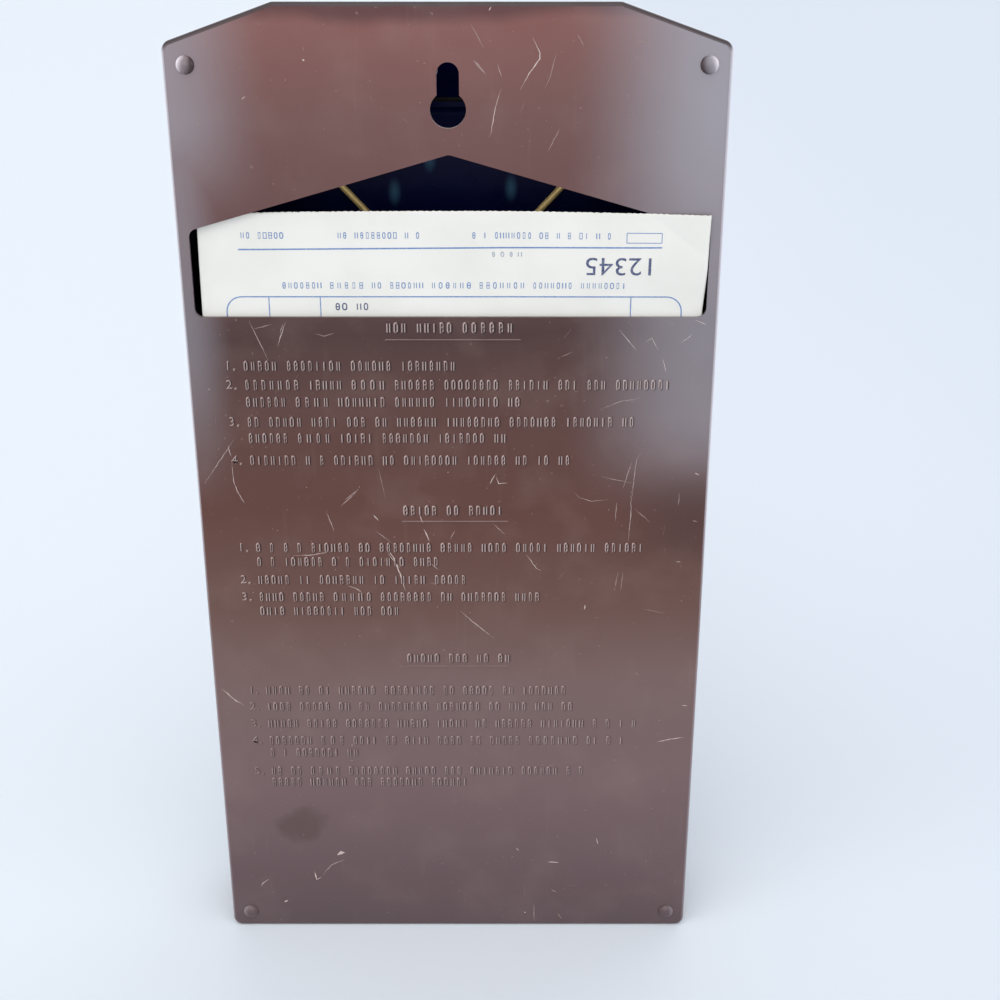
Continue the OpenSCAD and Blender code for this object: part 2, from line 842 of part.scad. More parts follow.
// One cheek with its catch toe, which turns under the lip in the base's side wall
module cheek() {
    joint_at = cover_low + 0.6;
    side_plate(half_inner, wall_t) {
        intersection() {
            swing_wedge(toe_tip, toe_root + 2 * toe_slack);
            swing_ring(toe_r - toe_t, toe_r);
        }
        difference() {
            polygon([
                swing(toe_r - 2 * toe_t, toe_root), swing((joint_at - swing_h) / sin(toe_root), toe_root),
                [joint_at, front_slope(joint_at)], [swing_h, front_slope(swing_h)]
            ]);
            swing_ring(0, toe_r - toe_t);
        }
    }
}

// A boss under the deck for one rivet
module deck_boss(x, at, low) {
    post(x, at, low, deck_low - low + deck_t / 2, rivet_d / 2 + 1.6);
}

module window_outline(grow) {
    w = window_w / 2 + grow;
    polygon(rounded_box([-w, window_front - grow], [w, window_rear + grow], window_r + grow));
}

tear_rivets = [for (i = [-1.5:1.5]) [i * rivet_gap * 2 / 3, tear_edge + tear_bar_l - 4]];
guide_rivets = [for (i = [-1:1]) [i * rivet_gap, guide_front + guide_l / 2]];

module cover_shell() color("#7A5A55") {
    difference() {
        intersection() {
            case_solid(cover_levels(0, cover_h));
            behind_slope(0);
        }
        intersection() {
            case_solid(cover_levels(wall_t, deck_low));
            behind_slope(deck_t);
        }
        slab(deck_low - over, deck_t + 2 * over)
            window_outline(0);
        // The mouth under the sloping front that the tear bar lies in and the form leaves by
        slab(cover_low - over, tear_bar_h + tear_bar_t + lie_gap - cover_low + over)
            translate([-mouth_w / 2, 0])
                square([mouth_w, mouth_l]);
        slab(deck_low - over, deck_t + 2 * over)
            button_outline(button_gap);
        for (x = [-1, 1])
            post(x * latch_rivet_x, latch_rivet_at, deck_low - over, deck_t + 2 * over, rivet_d / 2 + 0.05);
    }
    // The lip round the window
    difference() {
        slab(lip_low, deck_low - lip_low + deck_t / 2)
            window_outline(lip_t);
        slab(lip_low - over, deck_low - lip_low + deck_t + over)
            window_outline(0);
    }
    both_sides() cheek();
    difference() {
        union() {
            for (p = tear_rivets)
                deck_boss(p[0], p[1], tear_bar_h + tear_bar_t + lie_gap);
            for (p = guide_rivets)
                deck_boss(p[0], p[1], tear_bar_h + guide_t + lie_gap);
        }
        for (p = concat(tear_rivets, guide_rivets))
            post(p[0], p[1], tear_bar_h, deck_low - tear_bar_h, rivet_d / 2 + 0.05);
    }
}

// The tear bar: a steel strip under the cover's front, with its front edge bevelled
module tear_bar() color("#C4C6C9")
    difference() {
        side_plate(-form_w / 2 + 0.8, form_w - 1.6)
            polygon([
                [tear_bar_h, tear_edge], [tear_bar_h + tear_bar_t, tear_edge + 1.4],
                [tear_bar_h + tear_bar_t, tear_edge + tear_bar_l], [tear_bar_h, tear_edge + tear_bar_l]
            ]);
        for (p = tear_rivets)
            post(p[0], p[1], tear_bar_h - over, tear_bar_t + 2 * over, rivet_d / 2 + 0.05);
    }

// The guide that keeps the form flat round the pins
module form_guide() color("#A9ABAF")
    slab(tear_bar_h, guide_t)
        difference() {
            polygon(rounded_box([-form_w / 2 + 3, guide_front], [form_w / 2 - 3, guide_front + guide_l], 3));
            for (x = [-1, 1])
                translate([x * pin_gap / 2, pin_at])
                    polygon(rounded_box([-pin_d / 2 - 0.8, -pin_d / 2 - 0.8],
                                        [pin_d / 2 + 0.8, pin_d / 2 + 1.8], pin_d / 2));
            for (p = guide_rivets)
                translate(p)
                    circle(r = rivet_d / 2 + 0.05);
        }

// A rivet with a thin flat head under what it holds
module flat_rivet(p, low, l) {
    post(p[0], p[1], low, 0.4, rivet_d / 2 + 1);
    post(p[0], p[1], low, l, rivet_d / 2);
}

module cover_rivets() color("#B4B6BA") {
    for (p = tear_rivets)
        flat_rivet(p, tear_bar_h - 0.4, deck_low - tear_bar_h + 0.3);
    for (p = guide_rivets)
        flat_rivet(p, tear_bar_h - 0.4, deck_low - tear_bar_h + 0.3);
}

// The rear latch

latch_rivet_x = 6;
latch_foot_front = leaf_back - latch_foot_l;
latch_rivet_at = latch_foot_front + latch_foot_l / 3;

// The strip that is riveted under the deck and carries the leaf
module latch_foot() color("#9A9CA0")
    slab(deck_low - leaf_t - lie_gap, leaf_t)
        difference() {
            polygon(rounded(
                [[-leaf_w / 2, latch_foot_front], [leaf_w / 2, latch_foot_front],
                 [leaf_w / 2, leaf_back], [-leaf_w / 2, leaf_back]],
                [3, 3, 0, 0]
            ));
            for (x = [-1, 1])
                translate([x * latch_rivet_x, latch_rivet_at])
                    circle(r = rivet_d / 2 + 0.05);
        }

// Two rivets with domed heads on the deck
module latch_rivets() color("#B4B6BA")
    for (x = [-1, 1])
        translate([x * latch_rivet_x, y_of(0), latch_rivet_at])
            rotate([-90, 0, 0])
                rotate_extrude()
                    polygon(concat(
                        [[0, deck_low - leaf_t - lie_gap - 0.6],
                         [rivet_d / 2 + 0.9, deck_low - leaf_t - lie_gap - 0.6],
                         [rivet_d / 2 + 0.9, deck_low - leaf_t - lie_gap],
                         [rivet_d / 2, deck_low - leaf_t - lie_gap],
                         [rivet_d / 2, cover_h], [rivet_d / 2 + 0.9, cover_h]],
                        [for (i = [1:4]) [(rivet_d / 2 + 0.9) * cos(90 * i / 4), cover_h + 0.8 * sin(90 * i / 4)]]
                    ));

// The spring leaf that hangs from the foot, with the tooth that bites under the slot's edge
leaf_root_h = deck_low - leaf_t - 2 * lie_gap;

module latch_leaf() color("#B9BBBF") {
    wall_in = rear_in - rear_lean * tooth_top;
    bead_h = leaf_root_h - leaf_t / 2;
    rod(-leaf_w / 2, leaf_w, bead_h, leaf_back - leaf_t / 2, leaf_t / 2);
    side_plate(-leaf_w / 2, leaf_w)
        polygon([
            [bead_h, leaf_back - leaf_t], [bead_h, leaf_back],
            [leaf_low, leaf_back], [leaf_low, leaf_back - leaf_t]
        ]);
    side_plate(-leaf_w / 2 + 2, leaf_w - 4)
        polygon([
            [tooth_top, leaf_back - leaf_t / 2], [tooth_top, wall_in + tooth_bite],
            [tooth_top - tooth_h / 3, wall_in + tooth_bite],
            [tooth_top - tooth_h, leaf_back - leaf_t / 2]
        ]);
}

// The thumb pad on the leaf, behind the finger slot
module latch_pad() color("#5E4340") {
    top = tooth_top - tooth_h - 0.3;
    mid = (top + leaf_low) / 2;
    side_plate(-leaf_w / 2 + 1, leaf_w - 2)
        difference() {
            polygon(rounded(
                [[leaf_low + 0.4, leaf_back + lie_gap], [leaf_low + 0.4, leaf_back + 1.5],
                 [top, leaf_back + 1.5], [top, leaf_back + lie_gap]],
                [0, 0.6, 0.6, 0]
            ));
            for (i = [-1:1])
                translate([mid + 2 * i, leaf_back + 1.9])
                    circle(r = 0.8, $fn = 24);
        }
}

base_tray();
lever_shaft();
shaft_clips();
last_form_original();
last_form_copy();
writing_plate();
form_hold_down_wire();
wire_straps();
top_form_original();
top_form_copy();
release_lever();
release_button();
left_feed_pin();
right_feed_pin();
left_lever_spring();
right_lever_spring();
cover_shell();
tear_bar();
form_guide();
cover_rivets();
latch_foot();
latch_rivets();
latch_leaf();
latch_pad();
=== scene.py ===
"""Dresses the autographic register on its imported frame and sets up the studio.

The case stands on its front end, with its underside towards the camera (-Y) and its rear end
up (+Z). Sizes are in millimetres, and MM turns them to the frame's metres. A depth is measured
from the underside into the case, so a point outside the case has a depth below zero.
"""

import functools
import logging
import math
import random
from dataclasses import dataclass, field, replace
from enum import Enum
from typing import Callable, Sequence

import bmesh
import bpy
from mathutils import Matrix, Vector


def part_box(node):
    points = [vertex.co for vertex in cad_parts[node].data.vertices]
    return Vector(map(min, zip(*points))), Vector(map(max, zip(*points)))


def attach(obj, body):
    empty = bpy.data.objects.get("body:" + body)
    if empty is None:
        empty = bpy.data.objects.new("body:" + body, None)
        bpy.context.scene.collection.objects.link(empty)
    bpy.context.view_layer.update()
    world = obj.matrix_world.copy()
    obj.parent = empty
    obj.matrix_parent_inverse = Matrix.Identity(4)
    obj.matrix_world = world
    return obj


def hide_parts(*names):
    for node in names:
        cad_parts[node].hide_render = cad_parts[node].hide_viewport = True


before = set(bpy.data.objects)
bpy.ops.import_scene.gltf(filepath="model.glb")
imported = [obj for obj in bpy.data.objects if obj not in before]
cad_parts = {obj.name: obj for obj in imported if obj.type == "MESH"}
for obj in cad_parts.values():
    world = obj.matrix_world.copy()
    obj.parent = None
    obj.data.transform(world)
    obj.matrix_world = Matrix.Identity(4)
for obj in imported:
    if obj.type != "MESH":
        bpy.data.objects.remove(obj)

LOG = logging.getLogger("register_scene")
MM = 0.001
FOOT_HEIGHT = 1.0
MATH = "ShaderNodeMath"
VECTOR_MATH = "ShaderNodeVectorMath"
MAP_RANGE = "ShaderNodeMapRange"

Colour = tuple[float, float, float, float]
Faces = list[tuple[int, ...]]
Flat = tuple[float, float]
# Left end, right end and height of a row of marks
Row = tuple[float, float, float]
# Points of a scratch and its greatest width
Scratch = tuple[tuple[Flat, ...], float]
Socket = bpy.types.NodeSocket
Inputs = dict[str | int, object] | Sequence[object]


# Shared helpers

def srgb(hex_colour: str) -> Colour:
    """Turns an sRGB hex colour such as "#7a5a55" to a linear one with an alpha of 1."""
    parts = [int(hex_colour[i:i + 2], 16) / 255 for i in (1, 3, 5)]
    linear = [p / 12.92 if p <= 0.04045 else ((p + 0.055) / 1.055) ** 2.4 for p in parts]
    return (linear[0], linear[1], linear[2], 1.0)


def smooth(value: float, start: float, length: float) -> float:
    """Returns a smooth step from 0 at start to 1 at a length past it."""
    share = min(max((value - start) / length, 0.0), 1.0)
    return share * share * (3 - 2 * share)


@functools.cache
def node_box(node: str) -> tuple[Vector, Vector]:
    """Returns a frame node's lowest and highest corner in metres, measured once."""
    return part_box(node)


def underside(depth: float) -> float:
    """Returns the frame's Y, in metres, of a depth in millimetres behind the underside."""
    low, _ = node_box("base_tray")
    return low.y + (FOOT_HEIGHT + depth) * MM


def spot(x: float, depth: float, z: float) -> Vector:
    """Returns the point, in metres, at an X, a depth and a Z in millimetres."""
    return Vector((x * MM, underside(depth), z * MM))


def tube_faces(rings: int, sides: int, first: int = 0) -> Faces:
    """Returns the faces between closed rings of points that are numbered from first."""
    return [(first + ring * sides + i, first + ring * sides + (i + 1) % sides,
             first + (ring + 1) * sides + (i + 1) % sides, first + (ring + 1) * sides + i)
            for ring in range(rings - 1) for i in range(sides)]


def make_piece(name: str, points: Sequence[Vector], faces: Faces, material: bpy.types.Material,
               shade_smooth: bool = False, edges: Sequence[tuple[int, int]] = ()) -> bpy.types.Object:
    """Makes a mesh object at the origin.

    Args:
        name: Name of the piece.
        points: Vertices in metres.
        faces: Vertex numbers of each face.
        material: Finish of the whole piece.
        shade_smooth: Whether its faces are shaded smooth.
        edges: Loose edges, for a mesh that a node tree builds on.

    Returns:
        The new object, linked to the scene.
    """
    mesh = bpy.data.meshes.new(name)
    mesh.from_pydata([tuple(p) for p in points], edges, faces)
    mesh.materials.append(material)
    if shade_smooth:
        mesh.polygons.foreach_set("use_smooth", [True] * len(mesh.polygons))
    mesh.update()
    piece = bpy.data.objects.new(name, mesh)
    bpy.context.scene.collection.objects.link(piece)
    return piece


def evaluated_mesh(piece: bpy.types.Object) -> bpy.types.Mesh:
    """Returns what an object's modifiers or its curve make, and removes the object."""
    bpy.context.view_layer.update()
    mesh = bpy.data.meshes.new_from_object(
        piece.evaluated_get(bpy.context.evaluated_depsgraph_get()))
    bpy.data.objects.remove(piece)
    return mesh


def freeze(piece: bpy.types.Object) -> bpy.types.Object:
    """Replaces a piece by a plain mesh object of the same name, with its modifiers applied."""
    name = piece.name
    frozen = bpy.data.objects.new(name, evaluated_mesh(piece))
    frozen.name = name
    bpy.context.scene.collection.objects.link(frozen)
    return frozen


class Graph:
    """A node tree that is being made."""

    def __init__(self, tree: bpy.types.NodeTree) -> None:
        """Starts on a tree."""
        self.tree = tree

    def node(self, kind: str, inputs: Inputs = (), **settings: object) -> bpy.types.Node:
        """Adds a node with its settings, and sets or links its inputs.

        Args:
            kind: Type of the node.
            inputs: Values of its first sockets in order, or of any by name or number.
            settings: Values of the node's own properties.

        Returns:
            The new node.
        """
        node = self.tree.nodes.new(kind)
        for name, value in settings.items():
            setattr(node, name, value)
        self.feed(node, inputs)
        return node

    def feed(self, node: bpy.types.Node, inputs: Inputs) -> None:
        """Sets a node's inputs. A value that is a socket is linked."""
        for key, value in inputs.items() if isinstance(inputs, dict) else enumerate(inputs):
            if isinstance(value, Socket):
                self.tree.links.new(value, node.inputs[key])
            else:
                node.inputs[key].default_value = value

    def add(self, kind: str, inputs: Inputs = (), output: str | int = 0,
            **settings: object) -> Socket:
        """Adds a node as node does, and returns one of its outputs."""
        return self.node(kind, inputs, **settings).outputs[output]

    def product(self, first: object, *factors: object) -> Socket:
        """Returns the product of values and sockets."""
        for factor in factors:
            first = self.add(MATH, (first, factor), operation="MULTIPLY")
        return first


# Finishes

@dataclass(frozen=True)
class Clouds:
    """A noise with blots of a size in millimetres, stretched from one range to another."""

    size: float
    detail: float
    low: float
    high: float
    least: float = 0.0
    most: float = 1.0


@dataclass(frozen=True)
class Fade:
    """A smooth change from least to most between two places in millimetres."""

    start: float
    end: float
    least: float = 0.0
    most: float = 1.0


class Coat(Graph):
    """The node tree of a material, with the steps that the finishes share."""

    @functools.cached_property
    def coords(self) -> Socket:
        """Object coordinates."""
        return self.add("ShaderNodeTexCoord", output="Object")

    @functools.cached_property
    def normal(self) -> Socket:
        """The way that a face looks, on the object's axes."""
        return self.add("ShaderNodeTexCoord", output="Normal")

    @functools.cached_property
    def place(self) -> Sequence[Socket]:
        """Object coordinates as X, Y and Z."""
        return self.node("ShaderNodeSeparateXYZ", (self.coords,)).outputs

    @functools.cached_property
    def facing(self) -> Sequence[Socket]:
        """The way that a face looks as X, Y and Z."""
        return self.node("ShaderNodeSeparateXYZ", (self.normal,)).outputs

    def noise(self, size: float, detail: float, along: Socket | None = None) -> Socket:
        """Returns a noise whose blots are about size millimetres across."""
        return self.add("ShaderNodeTexNoise", {
            "Vector": along or self.coords, "Scale": 1.0 / (size * MM), "Detail": detail})

    def clouds(self, noise: Clouds, along: Socket | None = None) -> Socket:
        """Returns a noise in the range that it is given."""
        return self.add(MAP_RANGE, (self.noise(noise.size, noise.detail, along),
                                    noise.low, noise.high, noise.least, noise.most))

    def relief(self, size: float, detail: float, depth: float, along: Socket | None = None,
               under: Socket | None = None) -> Socket:
        """Returns a normal for a relief of depth millimetres, on top of another if given."""
        inputs = {"Height": self.noise(size, detail, along), "Distance": depth * MM}
        if under:
            inputs["Normal"] = under
        return self.add("ShaderNodeBump", inputs)

    def fade(self, value: Socket, change: Fade) -> Socket:
        """Returns a change along one of the axes."""
        return self.add(MAP_RANGE, (value, change.start * MM, change.end * MM, change.least,
                                    change.most), interpolation_type="SMOOTHSTEP")

    def over(self, under: object, where: Socket, top: object) -> Socket:
        """Returns a colour with another over it, each given as a socket or in hex."""
        # Inputs 6 and 7 and output 2 are the node's colours, and it holds its factor to 0 to 1
        first, second = (srgb(c) if isinstance(c, str) else c for c in (under, top))
        return self.add("ShaderNodeMix", {0: where, 6: first, 7: second}, 2, data_type="RGBA")

    def away(self, middle: Flat, half: Flat, turn: float = 0.0) -> Socket:
        """Returns how far a point is from a place, where 1 is on an ellipse of two half sizes."""
        near = self.add("ShaderNodeMapping", {
            "Vector": self.coords, "Location": (middle[0] * MM, 0, middle[1] * MM),
            "Rotation": (0, turn, 0), "Scale": (half[0] * MM, 1, half[1] * MM)},
            vector_type="TEXTURE")
        return self.add(VECTOR_MATH, (near,), "Value", operation="LENGTH")


@dataclass(frozen=True)
class Finish:
    """A finish named for its real material, with the colour and gloss that it starts from."""

    name: str
    colour: str
    roughness: float

    def material(self) -> bpy.types.Material:
        """Returns the finish's material, which is made once."""
        found = bpy.data.materials.get(self.name)
        if found:
            return found
        material = bpy.data.materials.new(self.name)
        material.use_nodes = True
        material.node_tree.nodes.clear()
        coat = Coat(material.node_tree)
        shader = coat.node("ShaderNodeBsdfPrincipled", {
            "Base Color": srgb(self.colour), "Roughness": self.roughness})
        coat.node("ShaderNodeOutputMaterial", (shader.outputs["BSDF"],))
        coat.feed(shader, self.dress(coat))
        return material

    def dress(self, coat: Coat) -> dict[str, object]:
        """Returns the shader's inputs that hold the finish's own detail."""
        return {}

    def gloss(self, coat: Coat, noise: Clouds, along: Socket | None = None) -> Socket:
        """Returns the roughness, made uneven by what a noise adds to it."""
        return coat.clouds(replace(noise, least=self.roughness + noise.least,
                                   most=self.roughness + noise.most), along)


@dataclass(frozen=True)
class Enamel(Finish):
    """Stoved enamel, sprayed on pressed sheet steel: a soft sheen with a faint orange peel."""

    worn: str
    faded: str
    hairline: float = 0.025
    dust: float = 0.3
    shine: float = 0.4
    thin_coat: Clouds = Clouds(55, 3, 0.35, 0.65, 0, 0.45)
    rubs: Clouds = Clouds(16, 5, 0.5, 0.75, 0, 0.09)
    # Turn and stretch of the two directions that the hairline scratches run in
    hairline_ways: tuple[Flat, Flat] = ((0.95, 10.0), (-0.75, 12.0))

    def dress(self, coat: Coat) -> dict[str, object]:
        """Returns the paint, an uneven gloss, and the relief of the spray and of the sheet."""
        orange_peel = coat.relief(1.1, 1, 0.012)
        return {"Specular IOR Level": self.shine, "Base Color": self.paint(coat),
                "Roughness": self.gloss(coat, Clouds(9, 4, 0.3, 0.7, -0.05, 0.08)),
                "Normal": coat.relief(60, 1, 0.35, under=orange_peel)}

    def ground(self, coat: Coat) -> Socket:
        """Returns the enamel's own colour, clouded where the coat is thinner."""
        return coat.over(self.colour, coat.clouds(self.thin_coat), self.faded)

    def paint(self, coat: Coat) -> Socket:
        """Returns the colour with rubbed patches, hairline scratches and specks of dust on it."""
        specks = Clouds(1.4, 2, 0.71, 0.78, 0, self.dust)
        paint = coat.over(self.ground(coat), coat.clouds(self.rubs), self.worn)
        paint = coat.over(paint, self.hairlines(coat), self.worn)
        return coat.over(paint, coat.clouds(specks), self.worn)

    def hairlines(self, coat: Coat) -> Socket:
        """Returns where fine scratches run, from two stretched noises that cross."""
        found = []
        for turn, stretch in self.hairline_ways:
            turned = coat.add("ShaderNodeMapping", {
                "Vector": coat.coords, "Rotation": (0, turn, 0), "Scale": (stretch, 1, 1)})
            found.append(coat.clouds(Clouds(34, 2, 0.68, 0.73, 0, self.hairline), turned))
        return coat.add(MATH, found, operation="MAXIMUM")


@dataclass(frozen=True)
class CaseEnamel(Enamel):
    """The case's brown enamel, greyer towards the sides and the foot of the underside from painted
    reflections.

    It has a painted highlight on the side bends, painted shade on the rear bend, and painted shade inside,
    as a near-black colour.
    """

    worn: str = "#9a857f"
    faded: str = "#5f403c"
    # Heights above the front end in millimetres, and the brown there. Its change with height is painted
    # light: a painted reflection of the pale floor low down and of darker surroundings just below the
    # opening, painted light towards the rear, and painted shade on the top bend
    tones: tuple[tuple[float, str], ...] = (
        (0, "#514144"), (26, "#5d494c"), (60, "#695455"), (92, "#6a5350"), (118, "#5d4039"),
        (150, "#532f26"), (185, "#4d2f29"), (203, "#3d221f"), (240, "#593735"), (263, "#613d3a"),
        (286, "#70423d"), (289.5, "#4a1d1e"))
    waves: Clouds = Clouds(60, 3, 0.3, 0.7, -0.012, 0.012)
    # The painted reflection of the side windows, and where it comes in across the underside and up it
    chalk: str = "#8c8991"
    right_in: Fade = Fade(30, 71)
    right_up: Fade = Fade(144, 180)
    right_top: Fade = Fade(205, 262, 0.64, 0.95)
    left_in: Fade = Fade(-46, -75)
    left_up: Fade = Fade(230, 262, 0, 0.68)
    edge_in: Fade = Fade(-60, -73)
    edge_up: Fade = Fade(145, 200, 0, 0.47)
    patchy: Clouds = Clouds(30, 4, 0.3, 0.7, 0.94, 1.06)
    # A darker band at the right side of the underside
    unfaded: str = "#3a2422"
    band_foot: Fade = Fade(126, 142)
    band_top: Fade = Fade(166, 150)
    band_in: Fade = Fade(40, 70, 0, 0.55)
    # A dried splash near the front end
    stain: str = "#4c3836"
    stain_at: Flat = (-50.0, 39.6)
    stain_half: Flat = (8.6, 6.0)
    stain_turn: float = -0.2
    stain_edge: Flat = (1.2, 0.75)
    stain_strength: float = 0.6
    ragged: Clouds = Clouds(8, 3, 0.3, 0.7, -0.3, 0.3)
    # A painted highlight on the side bends, stronger towards the rear, and painted shade on the rear bend
    bend: str = "#d6cfd7"
    bend_wear: Fade = Fade(110, 165, 2.2, 6.5)
    bend_power: float = 4.0
    # Colour and strength of the painted shade on the bends that face up, at the rear end
    grime: str = "#2c1e20"
    rear_grime: float = 4.5
    # A painted highlight on the sheet's cut edge round the keyhole, and the box that it is in
    rim: str = "#b9a9ac"
    rim_depth: float = 1.3
    rim_facing: float = 0.3
    keyhole_at: float = 266.0
    keyhole_half: Flat = (8.0, 12.0)
    # Painted shade inside: a near-black colour from a depth just past the sheet
    primer: str = "#0b0d18"
    sheet: float = 1.1
    # How far round the bend the underside's colour reaches, as depths
    wrap: Flat = (0.5, 2.5)

    def ground(self, coat: Coat) -> Socket:
        """Returns the brown by height with the painted reflection of the side windows on the underside,
        and plain elsewhere.
        """
        x, y, z = coat.place
        wrap = Fade(*(underside(depth) / MM for depth in self.wrap))
        band = coat.product(coat.fade(z, self.band_foot), coat.fade(z, self.band_top),
                            coat.fade(x, self.band_in))
        paint = coat.over(self.brown(coat), self.chalky(coat), self.chalk)
        paint = coat.over(paint, self.stained(coat), self.stain)
        paint = coat.over(paint, band, self.unfaded)
        return coat.over(paint, coat.fade(y, wrap), super().ground(coat))

    def brown(self, coat: Coat) -> Socket:
        """Returns the brown at each height, which holds the painted reflection, light and shade that
        change with height.
        """
        _, top = node_box("base_tray")
        share = coat.add(MATH, (coat.place[2], top.z), operation="DIVIDE")
        wavy = coat.add(MATH, (share, coat.clouds(self.waves)), operation="ADD")
        ramp = coat.node("ShaderNodeValToRGB", (wavy,))
        scale = ramp.color_ramp
        while len(scale.elements) < len(self.tones):
            scale.elements.new(0.5)
        for element, (height, tone) in zip(scale.elements, self.tones):
            element.position = height * MM / top.z
            element.color = srgb(tone)
        return ramp.outputs["Color"]

    def chalky(self, coat: Coat) -> Socket:
        """Returns how strong the painted reflection of the side windows is on the underside."""
        x, _, z = coat.place
        right = coat.product(coat.fade(x, self.right_in), coat.fade(z, self.right_up),
                             coat.fade(z, self.right_top))
        left = coat.product(coat.fade(x, self.left_in), coat.fade(z, self.left_up))
        edge = coat.product(coat.fade(x, self.edge_in), coat.fade(z, self.edge_up))
        left = coat.add(MATH, (left, edge), operation="MAXIMUM")
        return coat.product(coat.add(MATH, (left, right), operation="ADD"),
                            coat.clouds(self.patchy))

    def stained(self, coat: Coat) -> Socket:
        """Returns where a dried splash near the front end lies, with a ragged edge."""
        far = coat.away(self.stain_at, self.stain_half, self.stain_turn)
        ragged = coat.add(MATH, (far, coat.clouds(self.ragged)), operation="ADD")
        return coat.add(MAP_RANGE, (ragged, *self.stain_edge, 0.0, self.stain_strength))

    def paint(self, coat: Coat) -> Socket:
        """Returns the enamel with a painted highlight on the side bends, painted shade on the rear bend, a
        painted highlight on the keyhole's cut edge, and painted shade inside.
        """
        nx, ny, nz = coat.facing
        x, _, z = coat.place
        # Painted highlight: the outward side bends are painted pale, where their gloss would catch the
        # side windows
        sideways = coat.product(nx, coat.add(MATH, (x,), operation="SIGN"))
        sideways = coat.add(MATH, (sideways, 0.0), operation="MAXIMUM")
        steep = coat.add(MATH, (sideways, self.bend_power), operation="POWER")
        outward = coat.product(ny, ny)
        bent = coat.product(steep, outward, coat.fade(z, self.bend_wear))
        paint = coat.over(super().paint(coat), bent, self.bend)
        # Painted shade on the bends that face up, at the rear end
        paint = coat.over(paint, coat.product(nz, outward, self.rear_grime), self.grime)
        # Painted highlight on the keyhole's cut edge
        paint = coat.over(paint, self.keyhole_rim(coat, outward), self.rim)
        # Painted shade: every inside face behind the sheet is painted near-black
        return coat.over(paint, self.inside(coat), self.primer)

    def keyhole_rim(self, coat: Coat, outward: Socket) -> Socket:
        """Returns where the sheet's cut edge round the keyhole is."""
        x, y, z = coat.place
        half_w, half_l = self.keyhole_half
        return coat.product(
            coat.add(MATH, (outward, self.rim_facing), operation="LESS_THAN"),
            coat.add(MATH, (x, 0.0, half_w * MM), operation="COMPARE"),
            coat.add(MATH, (z, self.keyhole_at * MM, half_l * MM), operation="COMPARE"),
            coat.add(MATH, (y, underside(self.rim_depth)), operation="LESS_THAN"))

    def inside(self, coat: Coat) -> Socket:
        """Returns where a face looks inwards and lies behind the sheet of both shells."""
        low, _ = node_box("base_tray")
        _, high = node_box("cover_shell")
        _, y, _ = coat.place
        middle = tuple((low + high) / 2)
        away = coat.add(VECTOR_MATH, (coat.coords, middle), operation="SUBTRACT")
        facing = coat.add(VECTOR_MATH, (away, coat.normal), "Value", operation="DOT_PRODUCT")
        return coat.product(
            coat.add(MATH, (facing, 0.0), operation="LESS_THAN"),
            coat.add(MATH, (y, underside(self.sheet)), operation="GREATER_THAN"),
            coat.add(MATH, (y, high.y - self.sheet * MM), operation="LESS_THAN"))


@dataclass(frozen=True)
class PressedEnamel(CaseEnamel):
    """The same enamel on what is pressed out of it, with a painted highlight on one flank and painted
    shade on the other.

    The painted highlight and shade are faint on the rows near the front end, and the upper rows get a
    painted highlight on every face.
    """

    # Strength of the painted highlight and shade near the front end and higher up, and of the painted
    # highlight on every face of the upper rows
    faint: float = 1.15
    strong: float = 1.9
    crest: float = 0.16
    worn_outwards: bool = False
    bias: float = 0.0
    # Colours of the painted highlight and of the painted shade
    rubbed: str = "#b5a29e"
    shadow: str = "#1e1213"
    # Share of a flank's lean towards the rear that counts with its sideways lean
    rearwards: float = 0.25
    uneven: Clouds = Clouds(7, 3, 0.3, 0.7, 0.75, 1.25)
    # Heights between which the painted highlight and shade grow from faint to strong
    rows: Fade = Fade(92, 128)

    def paint(self, coat: Coat) -> Socket:
        """Returns the enamel with a painted highlight on one flank and painted shade on the other."""
        x, _, z = coat.place
        nx, _, nz = coat.facing
        highlight_side = coat.add(MATH, (x,), operation="SIGN") if self.worn_outwards else -1.0
        leans = coat.product(nx, highlight_side), coat.product(nz, self.rearwards)
        lean = coat.product(coat.add(MATH, leans, operation="ADD"), coat.clouds(self.uneven))
        lean = coat.add(MATH, (lean, self.bias), operation="SUBTRACT")
        pale, crest, dark = (
            coat.fade(z, replace(self.rows, least=least, most=most)) for least, most in (
                (self.faint, self.strong), (0, self.crest), (-self.faint, -self.strong)))
        pale = coat.add(MATH, (coat.product(lean, pale), crest), operation="ADD")
        paint = coat.over(Enamel.paint(self, coat), pale, self.rubbed)
        return coat.over(paint, coat.product(lean, dark), self.shadow)


@dataclass(frozen=True)
class BlackEnamel(Enamel):
    """Black enamel, with painted shade on the faces towards the underside: the deep blue that the shade
    inside the case takes.
    """

    worn: str = "#1a1c26"
    faded: str = "#0d0f1a"
    hairline: float = 0.02
    # The painted shade's deep blue, on the faces towards the underside
    thin: str = "#0a1150"

    def below(self, coat: Coat) -> Socket:
        """Returns how much a face looks towards the underside."""
        return coat.product(coat.facing[1], -1.0)

    def ground(self, coat: Coat) -> Socket:
        """Returns the black, with the painted blue shade on the faces towards the underside."""
        return coat.over(super().ground(coat), self.below(coat), self.thin)


